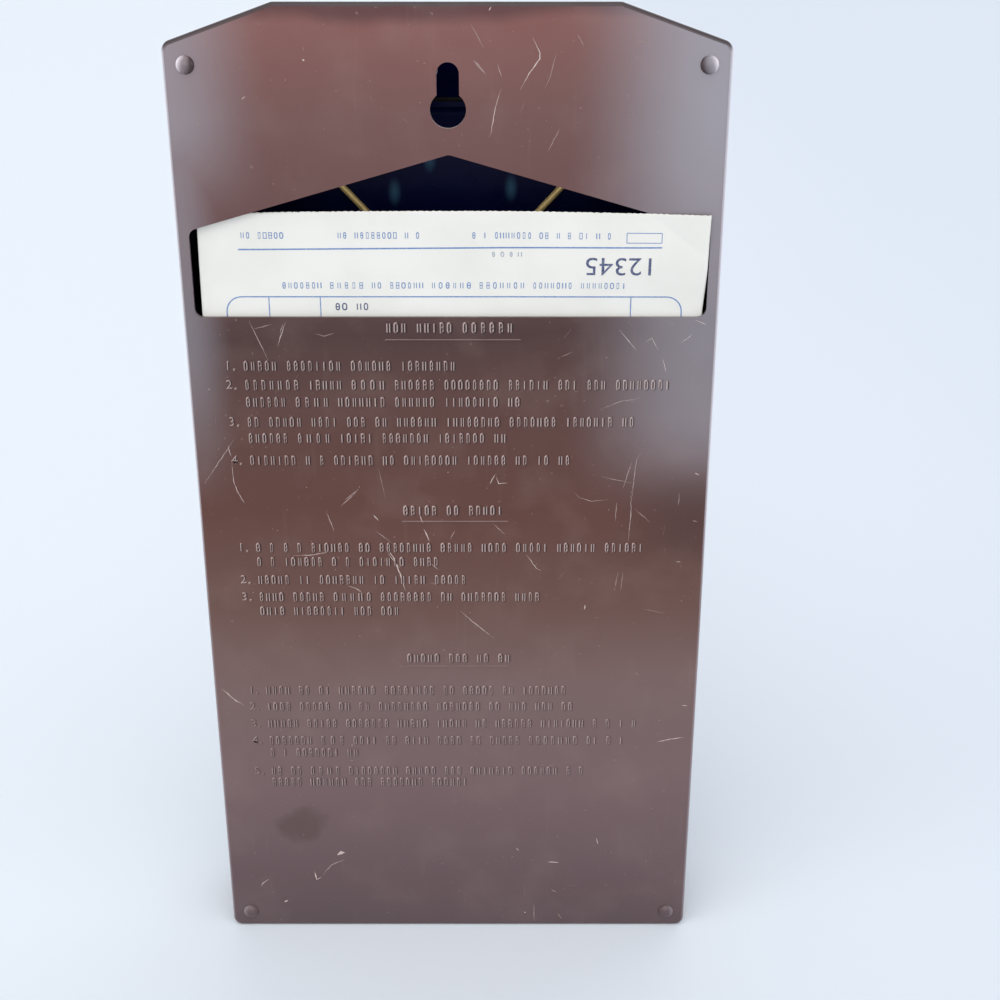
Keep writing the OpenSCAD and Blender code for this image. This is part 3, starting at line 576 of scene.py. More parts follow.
@dataclass(frozen=True)
class PlateEnamel(BlackEnamel):
    """Gloss black enamel with painted reflections underneath: soft blue-green spots."""

    # Middle of each painted reflection on the plate, and its half sizes, in millimetres
    spots: tuple[Flat, ...] = ((-16.5, 236.4), (16.8, 237.6), (-6.3, 246.0))
    spot_half: Flat = (2.4, 5.0)
    # Colour and strength of the painted reflections
    spot: str = "#3d6582"
    spot_strength: float = 0.8

    def ground(self, coat: Coat) -> Socket:
        """Returns the black with the painted reflections on it."""
        ground = super().ground(coat)
        for middle in self.spots:
            soft = coat.add(MAP_RANGE, (coat.away(middle, self.spot_half), 1.0, 0.0, 0.0,
                                        self.spot_strength), interpolation_type="SMOOTHSTEP")
            ground = coat.over(ground, coat.product(soft, self.below(coat)), self.spot)
        return ground


@dataclass(frozen=True)
class Paper(Finish):
    """Uncoated form paper: matte, with a faint fibre and cloudy thickness."""

    shade: str
    thickness: Clouds = Clouds(18, 4, 0.4, 0.7, 0, 0.6)

    def dress(self, coat: Coat) -> dict[str, object]:
        """Returns the clouding of the sheet, and the relief of its fibre and cockling."""
        fibre = coat.relief(0.45, 3, 0.02)
        return {"Base Color": coat.over(self.colour, coat.clouds(self.thickness), self.shade),
                "Normal": coat.relief(22, 1, 0.5, under=fibre)}


@dataclass(frozen=True)
class Ink(Finish):
    """Offset ink on form paper: flat, and a little uneven where the paper shows through."""

    paper: str = "#e6e5df"
    cover: float = 0.85

    def dress(self, coat: Coat) -> dict[str, object]:
        """Returns a colour that lets the paper show through the ink in small specks."""
        specks = coat.clouds(Clouds(0.6, 3, 0.35, 0.6, self.cover, 1))
        return {"Base Color": coat.over(self.paper, specks, self.colour)}


class Grain(Enum):
    """The way that a metal's surface was worked, as the stretch of its grain along X, Y, Z."""

    DRAWN = (1.0, 30.0, 30.0)
    ROLLED = (30.0, 30.0, 1.0)
    TUMBLED = (6.0, 6.0, 6.0)


@dataclass(frozen=True)
class Metal(Finish):
    """A bare or plated metal with the grain of its making and a little dulling."""

    grain: Grain
    dull: str = "#6d6f72"
    bare: float = 1.0
    blots: Clouds = Clouds(5, 4, 0.45, 0.7, 0, 0.5)

    def dress(self, coat: Coat) -> dict[str, object]:
        """Returns the metal with blotches of dulling, its grain and an uneven polish."""
        grain = coat.add("ShaderNodeMapping", {"Vector": coat.coords, "Scale": self.grain.value})
        return {"Metallic": self.bare,
                "Base Color": coat.over(self.colour, coat.clouds(self.blots), self.dull),
                "Roughness": self.gloss(coat, Clouds(5, 3, 0.3, 0.7, -0.06, 0.1), grain),
                "Normal": coat.relief(5, 3, 0.01, along=grain)}


@dataclass(frozen=True)
class Plastic(Finish):
    """Moulded ABS: an even satin with the fine grain of the mould."""

    def dress(self, coat: Coat) -> dict[str, object]:
        """Returns the mould's grain and hand-worn gloss."""
        return {"Roughness": self.gloss(coat, Clouds(4, 3, 0.4, 0.7, 0.05, -0.1)),
                "Normal": coat.relief(0.5, 1, 0.01)}


@dataclass(frozen=True)
class FloorPaint(Finish):
    """A seamless sweep of pale studio paper, with painted shade that makes it a little darker on the side
    away from the window.
    """

    far_side: str = "#dde5ef"
    change: Fade = Fade(-250, 500)

    def dress(self, coat: Coat) -> dict[str, object]:
        """Returns the painted shade that darkens the sweep slowly across it."""
        across = coat.fade(coat.place[0], self.change)
        return {"Base Color": coat.over(self.colour, across, self.far_side)}


# Brown stoved enamel on the case, with a painted reflection of the side windows on its sides
CASE_ENAMEL = CaseEnamel("brown_stoved_enamel", "#57352b", 0.34)
# The raised marks, rules and numbers carry a painted highlight on one flank and painted shade on the other
PRESSED_ENAMEL = PressedEnamel("brown_enamel_on_raised_marks", "#57352b", 0.36)
RULE_ENAMEL = replace(PRESSED_ENAMEL, name="brown_enamel_on_raised_rules", crest=0.06)
STEP_ENAMEL = replace(PRESSED_ENAMEL, name="brown_enamel_on_raised_numbers", crest=0.4)
# The feet carry a painted highlight on their outer side and painted shade on their inner side
FOOT_ENAMEL = PressedEnamel("brown_enamel_on_the_feet", "#57352b", 0.3, rubbed="#efe6ee",
                            shadow="#3a2a2c", faint=0.25, strong=1.7, crest=0.0,
                            worn_outwards=True, bias=0.16)
# Gloss black enamel on the writing plate, which mirrors what little light comes in, with painted blue
# shade and painted reflections underneath
PLATE_ENAMEL = PlateEnamel("black_gloss_enamel", "#090b14", 0.3, dust=0.05, shine=0.06,
                           thin="#050b36")
# Black lacquered spring steel, with the painted blue shade on its faces towards the underside
BLACK_STEEL = BlackEnamel("black_lacquered_spring_steel", "#0b0d16", 0.5, faded="#0e1019",
                          dust=0.03, shine=0.01)
FORM_PAPER = Paper("uncoated_form_paper", "#dcdbd6", 0.8, "#d3d2cb")
COPY_PAPER = Paper("canary_copy_paper", "#eee2a8", 0.8, "#e5d796")
RULE_INK = Ink("blue_offset_ink", "#5a7cae", 0.6)
NUMBER_INK = Ink("blue_black_numbering_ink", "#2e3b66", 0.6)
FAINT_INK = Ink("worn_grey_ink", "#8d96a8", 0.7, "#dcdbd6", 0.5)
# Yellow-passivated steel wire, dull and golden
GOLD_WIRE = Metal("yellow_passivated_wire", "#ffdf96", 0.45, Grain.TUMBLED, "#e0b565", 0.25)
ZINC_STEEL = Metal("zinc_plated_steel", "#a9abae", 0.36, Grain.ROLLED)
SPRING_STEEL = Metal("oiled_spring_steel", "#5c5d61", 0.34, Grain.DRAWN, "#3b3c40")
BRIGHT_STEEL = Metal("polished_steel", "#c2c3c6", 0.22, Grain.DRAWN, "#8f9094")
BUTTON_ABS = Plastic("ivory_moulded_abs", "#b5ab98", 0.42)
# Scratches, where bare steel or a duller undercoat shows in the enamel
SCRATCH_BRIGHT = Ink("bare_scratch", "#c4b3ae", 0.5, "#a18a84", 0.4)
SCRATCH_FAINT = Ink("dull_scratch", "#8f7873", 0.5, "#755c56", 0.4)
STUDIO_PAPER = FloorPaint("pale_studio_paper", "#e9f1f8", 0.9)


# Rows of raised or printed marks, made by a node tree

@dataclass(frozen=True)
class MarkSize:
    """Sizes of the marks in a row in millimetres, and the least share of the width."""

    pitch: float
    width: float
    height: float
    stroke: float
    relief: float
    least: float = 0.7


def words_between(start: float, end: float, pitch: float, chance: random.Random) -> list[Flat]:
    """Fills a line with words of 2 to 8 marks.

    Args:
        start: Left end of the line.
        end: Right end of the line.
        pitch: Distance between the marks of a word.
        chance: Seeded source of the word lengths.

    Returns:
        Middle of the first and the last mark of each word.
    """
    words = []
    at = start + pitch / 2
    while at + pitch < end:
        length = min(chance.randint(2, 8), int((end - at) / pitch + 0.5))
        last = at + (max(length, 2) - 1) * pitch
        words.append((at, last))
        at = last + 2.1 * pitch
    return words


class MarkRows:
    """Rows of letter-sized marks along edges. They stand for words, and spell nothing."""

    tree_name = "rows_of_marks"
    sizes = ("Pitch", "Width", "Height", "Stroke", "Relief", "Least Width")
    least_height = 0.96
    last_mark = 7
    bead_sides = 8

    def tree(self) -> bpy.types.NodeTree:
        """Returns the node tree that puts one of the marks at every pitch along each edge."""
        found = bpy.data.node_groups.get(self.tree_name)
        if found:
            return found
        tree = bpy.data.node_groups.new(self.tree_name, "GeometryNodeTree")
        for name, way, kind in (("Geometry", "INPUT", "Geometry"),
                                *((size, "INPUT", "Float") for size in self.sizes),
                                ("Seed", "INPUT", "Int"), ("Finish", "INPUT", "Material"),
                                ("Geometry", "OUTPUT", "Geometry")):
            tree.interface.new_socket(name, in_out=way, socket_type=f"NodeSocket{kind}")
        graph = Graph(tree)
        given = graph.node("NodeGroupInput").outputs
        line = graph.add("GeometryNodeMeshToCurve", {"Mesh": given["Geometry"]})
        spaced = graph.add("GeometryNodeResampleCurve", {
            "Curve": line, "Length": given["Pitch"]}, mode="LENGTH")
        least = self.point(graph, given["Least Width"], self.least_height, 1.0)
        vary = graph.add("FunctionNodeRandomValue", {
            "Min": least, "Max": (1.0, 1.0, 1.0), "Seed": given["Seed"]}, data_type="FLOAT_VECTOR")
        # Inputs 4 and 5 are the lowest and the highest whole number, and output 2 is the choice
        choice = graph.add("FunctionNodeRandomValue", {
            4: 0, 5: self.last_mark, "Seed": given["Seed"]}, 2, data_type="INT")
        placed = graph.add("GeometryNodeInstanceOnPoints", {
            "Points": spaced, "Instance": self.marks(graph, given), "Pick Instance": True,
            "Instance Index": choice, "Rotation": (math.pi / 2, 0, 0), "Scale": vary})
        real = graph.add("GeometryNodeRealizeInstances", {"Geometry": placed})
        dressed = graph.add("GeometryNodeSetMaterial", {
            "Geometry": real, "Material": given["Finish"]})
        graph.node("NodeGroupOutput", {"Geometry": dressed})
        return tree

    @staticmethod
    def point(graph: Graph, x: object, y: object, z: object) -> Socket:
        """Returns a vector of three values or sockets."""
        return graph.add("ShaderNodeCombineXYZ", (x, y, z))

    def marks(self, graph: Graph, given: Sequence[Socket]) -> Socket:
        """Returns the marks: rings and squares, bare or barred, an upright and a pair of them."""
        half_w = graph.product(given["Width"], 0.5)
        half_h = graph.product(given["Height"], 0.5)
        back = graph.product(half_w, -1.0)
        low = graph.product(half_h, -1.0)
        square = graph.add("GeometryNodeCurvePrimitiveQuadrilateral", {
            "Width": given["Width"], "Height": given["Height"]})
        ring = graph.add("GeometryNodeFilletCurve", {
            "Curve": square, "Count": 4, "Radius": half_w}, mode="POLY")
        upright = self.stroke(graph, (0.0, low), (0.0, half_h))
        bar = self.stroke(graph, (back, 0.0), (half_w, 0.0))
        pair = tuple(self.stroke(graph, (x, low), (x, half_h)) for x in (back, half_w))
        joined = graph.node("GeometryNodeJoinGeometry")
        for lines in ((ring,), (ring, bar), (upright,), pair, (square,), (square, bar), pair,
                      (ring,)):
            graph.feed(joined, (self.swept(graph, given, lines),))
        return joined.outputs[0]

    def stroke(self, graph: Graph, start: tuple[object, object],
               end: tuple[object, object]) -> Socket:
        """Returns a straight line between two points of a mark."""
        return graph.add("GeometryNodeCurvePrimitiveLine", {
            "Start": self.point(graph, *start, 0.0), "End": self.point(graph, *end, 0.0)})

    def swept(self, graph: Graph, given: Sequence[Socket], lines: Sequence[Socket]) -> Socket:
        """Returns one mark: its lines as round beads, half sunk, that rise by the relief."""
        gathered = graph.node("GeometryNodeJoinGeometry")
        for line in lines:
            graph.feed(gathered, (line,))
        radius = graph.product(given["Stroke"], 0.5)
        bead = graph.add("GeometryNodeCurvePrimitiveCircle", {
            "Resolution": self.bead_sides, "Radius": radius})
        tube = graph.add("GeometryNodeCurveToMesh", {
            "Curve": gathered.outputs[0], "Profile Curve": bead, "Fill Caps": True})
        rise = graph.add(MATH, (given["Relief"], radius), operation="DIVIDE")
        flat = graph.add("GeometryNodeTransform", {
            "Geometry": tube, "Scale": self.point(graph, 1.0, 1.0, rise)})
        return graph.add("GeometryNodeGeometryToInstance", {"Geometry": flat})

    def build(self, name: str, rows: Sequence[Row], y: float, size: MarkSize, finish: Finish,
              seed: int, chance: random.Random | None = None) -> bpy.types.Object:
        """Builds rows of marks as one plain mesh.

        Args:
            name: Name of the piece.
            rows: Left end, right end and height of each row.
            y: The frame's Y of all the rows, in metres.
            size: Sizes of a mark.
            finish: Finish of the marks.
            seed: Seed of the choice of marks and of their widths.
            chance: Source of the word lengths, if it isn't one from the same seed.

        Returns:
            The finished piece.
        """
        chance = chance or random.Random(seed)
        points = [Vector((x * MM, y, height * MM)) for start, end, height in rows
                  for word in words_between(start, end, size.pitch, chance) for x in word]
        edges = [(i, i + 1) for i in range(0, len(points), 2)]
        piece = make_piece(name, points, [], finish.material(), edges=edges)
        modifier = piece.modifiers.new("marks", "NODES")
        modifier.node_group = self.tree()
        keys = {item.name: item.identifier for item in modifier.node_group.interface.items_tree
                if item.in_out == "INPUT"}
        lengths = [length * MM for length in (size.pitch, size.width, size.height, size.stroke,
                                              size.relief)]
        for key, value in zip((*self.sizes, "Seed", "Finish"),
                              (*lengths, size.least, seed, finish.material())):
            modifier[keys[key]] = value
        LOG.info("%s: %d words", name, len(edges))
        return freeze(piece)


def plain_number(digits: str, height: float, thickness: float = 0.0,
                 thin: float = 0.06) -> bpy.types.Mesh:
    """Makes plain digits as a mesh, flat on XY and centred on the origin.

    Args:
        digits: The number.
        height: Height of a digit in millimetres.
        thickness: Thickness in millimetres, half of it on each side of XY.
        thin: How much thinner each side of a stroke is than in the font, in millimetres.

    Returns:
        The mesh, in metres.
    """
    curve = bpy.data.curves.new("digits", "FONT")
    curve.body = digits
    curve.align_x = "CENTER"
    curve.align_y = "CENTER"
    curve.resolution_u = 3
    # A digit of Blender's own font is about 0.7 of the text size high
    curve.size = height * MM / 0.7
    curve.offset = -thin * MM
    if thickness:
        curve.bevel_depth = thickness * MM / 2
        curve.bevel_resolution = 1
    carrier = bpy.data.objects.new("digits", curve)
    bpy.context.scene.collection.objects.link(carrier)
    mesh = evaluated_mesh(carrier)
    fine = bmesh.new()
    fine.from_mesh(mesh)
    bmesh.ops.triangulate(fine, faces=fine.faces)
    bmesh.ops.subdivide_edges(fine, edges=fine.edges, cuts=2, use_grid_fill=True)
    fine.to_mesh(mesh)
    fine.free()
    return mesh


def steps_between(start: Flat, end: Flat, steps: int) -> list[Flat]:
    """Returns points in equal steps from a start, without the end."""
    return [(start[0] + (end[0] - start[0]) * i / steps,
             start[1] + (end[1] - start[1]) * i / steps) for i in range(steps)]


@dataclass
class Shape:
    """Points and faces gathered for a piece. place turns a shape's own place to metres."""

    # Longest straight piece of a rule in millimetres, and the pieces of a rounded corner
    step = 3.0
    corner_steps = 8

    place: Callable[..., Vector] = spot
    points: list[Vector] = field(default_factory=list)
    faces: Faces = field(default_factory=list)

    def add(self, points: Sequence[Sequence[float]], faces: Sequence[Sequence[int]]) -> None:
        """Adds points, and faces that are numbered from the first of them."""
        first = len(self.points)
        self.points += [self.place(*point) for point in points]
        self.faces += [tuple(first + i for i in face) for face in faces]

    def ribbon(self, line: Sequence[Flat], widths: Sequence[float]) -> None:
        """Draws a line on a surface, with a width at each of its points."""
        points: list[Flat] = []
        for i, (x, z) in enumerate(line):
            before = line[max(i - 1, 0)]
            after = line[min(i + 1, len(line) - 1)]
            along = Vector((after[0] - before[0], after[1] - before[1]))
            across = Vector((-along.y, along.x)).normalized() * widths[i] / 2
            points += [(x + across.x, z + across.y), (x - across.x, z - across.y)]
        self.add(points, [(i, i + 1, i + 3, i + 2) for i in range(0, len(points) - 2, 2)])

    def rule(self, start: Flat, end: Flat, width: float) -> None:
        """Draws a straight rule, in short steps so that it follows a curved sheet."""
        steps = max(2, int(math.dist(start, end) / self.step))
        line = [*steps_between(start, end, steps), end]
        self.ribbon(line, [width] * len(line))

    def arch(self, left: float, right: float, top: float, foot: float, radius: float,
             width: float) -> None:
        """Draws the top of a frame: two sides that end at foot, and rounded upper corners."""
        turns = [math.pi / 2 * i / self.corner_steps for i in range(self.corner_steps + 1)]
        inner, outer, low = left + radius, right - radius, top - radius
        line = [(left, foot)]
        line += [(inner - radius * math.cos(a), low + radius * math.sin(a)) for a in turns]
        line += steps_between((inner, top), (outer, top), int((right - left) / self.step))[1:]
        line += [(outer + radius * math.sin(a), low + radius * math.cos(a)) for a in turns]
        line.append((right, foot))
        self.ribbon(line, [width] * len(line))

    def frame(self, left: float, right: float, low: float, high: float, width: float) -> None:
        """Draws a small square frame."""
        corners = ((left, low), (right, low), (right, high), (left, high))
        for start, end in zip(corners, corners[1:] + corners[:1]):
            self.rule(start, end, width)

    def digits(self, mesh: bpy.types.Mesh, x: float, z: float, side: int, squeeze: float) -> None:
        """Draws a number at a place, upside down if side is -1, and stretched sideways."""
        self.add([(x + side * squeeze * vertex.co.x / MM, z + side * vertex.co.y / MM)
                  for vertex in mesh.vertices], [face.vertices for face in mesh.polygons])

    def piece(self, name: str, finish: Finish, body: str,
              shade_smooth: bool = False) -> bpy.types.Object:
        """Makes the shape a piece that rides on a body."""
        made = make_piece(name, self.points, self.faces, finish.material(), shade_smooth)
        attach(made, body)
        LOG.info("%s: %d faces", name, len(self.faces))
        return made


# The pieces of the register

@dataclass
class PressedDirections:
    """Raised directions pressed into the underside: numbered rows of marks under headings."""

    relief: float = 0.28
    slope: float = 0.12
    # How deep the raised shapes start, so that they are sunk in the sheet's face
    sunk: float = 0.02
    left: float = -58.5
    middle: float = 0.6
    number_x: float = -62.6
    dot_at: Flat = (1.7, -1.1)
    dot: float = 0.5
    underline: float = 0.2
    letters: MarkSize = MarkSize(1.98, 0.86, 2.55, 0.76, 0.3)
    heading_letters: MarkSize = MarkSize(2.08, 0.86, 2.55, 0.86, 0.34, 0.85)
    # Heading and underline heights with their half widths
    headings: tuple[tuple[float, float, float], ...] = (
        (204.2, 200.7, 18.8), (149.0, 145.5, 15.4), (100.1, 97.3, 15.4))
    # Each row's height and right end, and its number where a step starts
    rows: tuple[tuple[float, float, int], ...] = (
        (193.1, 5.8, 1), (187.5, 62.6, 2), (182.4, 20.2, 0), (176.4, 57.1, 3), (171.5, 16.2, 0),
        (164.7, 35.0, 4), (137.1, 58.0, 1), (132.5, -0.3, 0), (126.6, 5.0, 2), (120.9, 30.8, 3),
        (116.2, -15.9, 0), (88.9, 34.3, 1), (83.2, 40.3, 2), (77.1, 57.6, 3), (71.0, 55.0, 4),
        (66.6, -25.6, 0), (59.9, 42.4, 5), (55.8, 4.8, 0))

    def build(self) -> None:
        """Builds the rows, the headings with their underlines, and the step numbers."""
        chance = random.Random(11)
        rows = [(self.left, end, height) for height, end, _ in self.rows]
        titles = [(self.middle - half, self.middle + half, height)
                  for height, _, half in self.headings]
        for name, lines, letters, seed in (
                ("pressed_direction_rows", rows, self.letters, 3),
                ("pressed_headings", titles, self.heading_letters, 5)):
            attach(MarkRows().build(name, lines, underside(self.sunk), letters, PRESSED_ENAMEL,
                                     seed, chance), "base")
        self.underlines()
        self.numbers()

    def slab(self, raised: Shape, x: float, z: float, half_w: float, half_h: float) -> None:
        """Adds a raised slab with sloping sides."""
        raised.add([(x + side * (half_w + grow), depth, z + up * (half_h + grow))
                    for grow, depth in ((self.slope, self.sunk), (0.0, self.sunk - self.relief))
                    for side, up in ((-1, -1), (1, -1), (1, 1), (-1, 1))],
                   [(4, 5, 6, 7), *tube_faces(2, 4)])

    def underlines(self) -> None:
        """Builds a raised rule under each heading."""
        raised = Shape()
        for _, height, half in self.headings:
            self.slab(raised, self.middle, height, half, self.underline / 2)
        raised.piece("pressed_underlines", RULE_ENAMEL, "base")

    def numbers(self) -> None:
        """Builds the plain step numbers, each with its dot."""
        raised = Shape()
        across, up = self.dot_at
        for height, _, number in self.rows:
            if number:
                mesh = plain_number(str(number), 2.6, 2 * self.relief, 0.2)
                raised.add([(self.number_x + v.co.x / MM, -v.co.z / MM, height + v.co.y / MM)
                            for v in mesh.vertices], [face.vertices for face in mesh.polygons])
                self.slab(raised, self.number_x + across, height + up, self.dot / 2, self.dot / 2)
        raised.piece("pressed_step_numbers", STEP_ENAMEL, "base")


@dataclass
class PressedFeet:
    """The four feet as smooth domes, pressed out of the sheet from inside."""

    radius: float = 2.42
    rise: float = 1.22
    rings: int = 8
    sides: int = 32
    # Middle of each foot on the right half, as distance from the middle plane and height
    places: tuple[Flat, ...] = ((68.05, 5.7), (68.05, 274.8))

    def build(self) -> None:
        """Builds the four domes as one piece."""
        domes = Shape()
        quarter = [math.pi / 2 * ring / self.rings for ring in range(self.rings)]
        circle = [2 * math.pi * i / self.sides for i in range(self.sides)]
        tip = self.rings * self.sides
        fan = [(tip - self.sides + i, tip - self.sides + (i + 1) % self.sides, tip)
               for i in range(self.sides)]
        for x, z in [(side * x, z) for side in (-1, 1) for x, z in self.places]:
            points = [(x + self.radius * math.cos(climb) * math.cos(turn),
                       -self.rise * math.sin(climb),
                       z + self.radius * math.cos(climb) * math.sin(turn))
                      for climb in quarter for turn in circle]
            domes.add([*points, (x, -self.rise, z)], tube_faces(self.rings, self.sides) + fan)
        domes.piece("pressed_feet", FOOT_ENAMEL, "base", True)


@dataclass
class WearMarks:
    """Scratches and chips on the underside, as thin marks that lie on the enamel."""

    lift: float = 0.025
    # Points of each bright scratch in millimetres and its greatest width, from the rear end down
    bright: tuple[Scratch, ...] = (
        (((11.4, 289.2), (10.8, 288.2)), 0.45),
        (((22.1, 281.6), (24.0, 277.8), (23.9, 276.3), (21.2, 272.5), (18.9, 268.4)), 0.34),
        (((-37.6, 276.2), (-37.0, 275.8)), 0.6), (((-54.0, 266.0), (-52.9, 266.9)), 0.25),
        (((13.9, 268.7), (12.5, 264.2), (11.0, 256.4)), 0.24), (((13.0, 275.0), (14.1, 271.6)), 0.2),
        (((-45.8, 205.8), (-47.2, 202.2), (-48.5, 198.7)), 0.28), (((-46.5, 205.3), (-47.4, 202.7)), 0.15),
        (((-55.9, 206.2), (-51.3, 194.9)), 0.15), (((-62.4, 171.2), (-72.0, 157.3)), 0.16),
        (((-64.3, 169.3), (-63.6, 166.0)), 0.2), (((-63.6, 164.7), (-63.4, 157.7), (-61.4, 152.2)), 0.2),
        (((-31.3, 152.6), (-27.4, 155.7)), 0.18), (((-68.6, 186.4), (-68.3, 186.1)), 0.4),
        (((46.8, 203.6), (51.8, 197.6)), 0.2), (((64.0, 199.8), (67.2, 202.3)), 0.28),
        (((54.2, 200.0), (55.9, 201.3), (57.8, 197.8)), 0.2), (((59.1, 195.6), (60.3, 191.2)), 0.3),
        (((42.1, 180.2), (47.5, 182.6), (53.1, 183.6)), 0.12),
        (((54.0, 167.0), (52.9, 164.7), (51.9, 152.2)), 0.14), (((51.5, 163.9), (49.3, 156.1)), 0.16),
        (((42.7, 159.7), (51.7, 157.7)), 0.1), (((10.6, 157.2), (12.2, 160.4)), 0.4),
        (((12.5, 159.7), (13.3, 157.5), (15.8, 157.7)), 0.3), (((67.5, 206.5), (71.0, 205.1)), 0.3),
        (((69.8, 160.8), (71.3, 160.2)), 0.3), (((51.7, 155.3), (51.9, 147.4), (51.3, 139.0)), 0.18),
        (((35.5, 154.6), (36.7, 153.0), (40.7, 151.9), (45.0, 152.5)), 0.12),
        (((-62.8, 155.3), (-60.7, 151.4)), 0.18), (((-36.9, 148.2), (-35.0, 142.3)), 0.2),
        (((-23.3, 147.8), (-21.9, 145.8)), 0.3),
        (((-20.1, 137.4), (-17.9, 134.1), (-16.1, 128.7), (-14.5, 122.9)), 0.5),
        (((-19.5, 135.4), (-16.1, 130.5)), 0.2), (((-8.7, 143.2), (-7.0, 139.0)), 0.45),
        (((0.4, 142.6), (-0.9, 140.0)), 0.25), (((-9.8, 147.7), (-9.0, 145.0)), 0.3),
        (((-47.5, 134.6), (-42.7, 134.6), (-36.0, 135.8)), 0.22), (((-31.6, 124.6), (-28.0, 123.2)), 0.25),
        (((-29.7, 124.2), (-27.6, 122.2)), 0.25), (((-6.8, 132.0), (-4.6, 129.9)), 0.2),
        (((47.6, 151.4), (47.4, 145.8)), 0.15), (((70.0, 145.8), (71.4, 145.5)), 0.2),
        (((11.8, 144.8), (15.0, 141.4)), 0.15), (((21.4, 134.9), (24.4, 130.4), (25.9, 129.5)), 0.2),
        (((39.2, 118.3), (39.0, 116.6)), 0.5), (((48.7, 129.2), (47.8, 122.9)), 0.12),
        (((50.2, 128.7), (49.6, 122.9)), 0.12), (((65.7, 132.5), (67.2, 132.5)), 0.2),
        (((1.6, 116.4), (6.1, 112.0), (11.8, 107.0)), 0.22),
        (((-72.0, 89.6), (-67.6, 85.2), (-65.3, 83.7)), 0.4),
        (((-38.9, 27.9), (-37.5, 28.9), (-36.2, 28.8)), 1.3),
        (((-46.6, 21.7), (-46.0, 18.3), (-44.3, 19.3)), 0.55),
        (((-43.8, 20.3), (-40.8, 24.2), (-36.3, 26.2)), 0.2),
        (((-64.3, 15.5), (-63.6, 16.9), (-61.5, 18.5)), 0.3), (((-57.1, 9.3), (-55.7, 10.1)), 0.6),
        (((69.7, 83.6), (71.6, 83.4)), 0.5), (((62.2, 70.3), (66.9, 71.5), (71.0, 72.1)), 0.35),
        (((44.6, 34.5), (45.2, 32.0)), 0.3), (((29.1, 25.2), (32.8, 25.0)), 0.5),
        (((18.8, 30.7), (19.8, 29.6)), 0.3), (((21.5, 5.3), (22.2, 5.1)), 0.5),
        (((24.8, 8.3), (24.9, 1.9)), 0.15), (((30.4, 14.3), (32.0, 13.3)), 0.2),
        (((-32.7, 69.5), (-32.4, 69.0)), 0.4))
    # The duller ones
    dull: tuple[Scratch, ...] = (
        (((6.2, 285.0), (9.5, 278.8)), 0.3), (((6.6, 276.1), (10.1, 272.3)), 0.9),
        (((33.7, 282.5), (35.2, 279.4)), 0.3), (((28.2, 277.8), (26.7, 271.9), (25.1, 268.4)), 0.3),
        (((48.3, 281.0), (52.5, 280.3)), 0.2), (((29.5, 258.7), (26.3, 252.5)), 0.35),
        (((-55.0, 203.8), (-49.6, 205.2)), 0.3), (((-37.7, 202.4), (-35.2, 201.9), (-32.4, 202.7)), 0.3),
        (((-21.4, 162.4), (-19.6, 152.6)), 0.2), (((30.2, 195.6), (34.0, 197.2)), 0.2),
        (((-27.9, 155.0), (-32.9, 150.3)), 0.5), (((-22.9, 142.6), (-18.1, 138.5)), 0.3),
        (((65.8, 154.6), (65.6, 150.6)), 0.3), (((52.9, 149.6), (57.7, 145.2)), 0.3),
        (((56.4, 117.0), (63.4, 115.3)), 0.25), (((32.6, 4.9), (34.0, 2.4)), 0.4))
    # Random specks: their field, the mean and spread of their turn, and their lengths. Those
    # shorter than chip are bright, and those longer than hair are thin
    specks: int = 130
    speck_x: Flat = (-68, 68)
    speck_z: Flat = (8, 284)
    speck_turn: Flat = (1.1, 0.7)
    speck_lengths: tuple[float, ...] = (0.25, 0.3, 0.4, 0.6, 2.0, 3.5)
    chip: float = 0.35
    hair: float = 1.0
    speck_widths: Flat = (0.25, 0.07)
    # Longest straight piece of a scratch, how far it wanders, and its least width
    step: float = 0.8
    wander: float = 0.05
    finest: float = 0.03

    def place(self, x: float, z: float) -> Vector:
        """Returns the point on the enamel, in metres."""
        return spot(x, -self.lift, z)

    @staticmethod
    def open_at(x: float, z: float) -> bool:
        """Returns whether a place is in the opening, at the keyhole or at a rear foot."""
        return 203 < z < 253 or math.hypot(x, z - 266) < 11 or abs(x) > 44 and z > 272

    def build(self) -> None:
        """Builds the listed scratches, short random ones and small chips."""
        chance = random.Random(7)
        bright, dull = Shape(self.place), Shape(self.place)
        for shape, scratches in ((bright, self.bright), (dull, self.dull)):
            for line, width in scratches:
                self.scratch(shape, line, width, chance)
        for _ in range(self.specks):
            x, z = chance.uniform(*self.speck_x), chance.uniform(*self.speck_z)
            if self.open_at(x, z):
                continue
            turn = chance.gauss(*self.speck_turn)
            length = chance.choice(self.speck_lengths)
            end = (x + length * math.cos(turn), z + length * math.sin(turn))
            width = self.speck_widths[length > self.hair]
            self.scratch(bright if length < self.chip else dull, ((x, z), end), width, chance)
        bright.piece("bright_scratches", SCRATCH_BRIGHT, "base")
        dull.piece("dull_scratches", SCRATCH_FAINT, "base")

    def scratch(self, shape: Shape, line: Sequence[Flat], width: float,
                chance: random.Random) -> None:
        """Draws a scratch that tapers to its ends and wanders a little."""
        fine: list[Flat] = []
        for start, end in zip(line, line[1:]):
            steps = max(2, int(math.dist(start, end) / self.step))
            wander = self.wander if steps > 2 else 0.0
            fine += [(x + chance.gauss(0, wander), z + chance.gauss(0, wander))
                     for x, z in steps_between(start, end, steps)]
        fine.append(line[-1])
        last = len(fine) - 1
        tapers = [math.sin(math.pi * i / last) * chance.uniform(0.45, 1) for i in range(last + 1)]
        shape.ribbon(fine, [max(self.finest, width * taper) for taper in tapers])


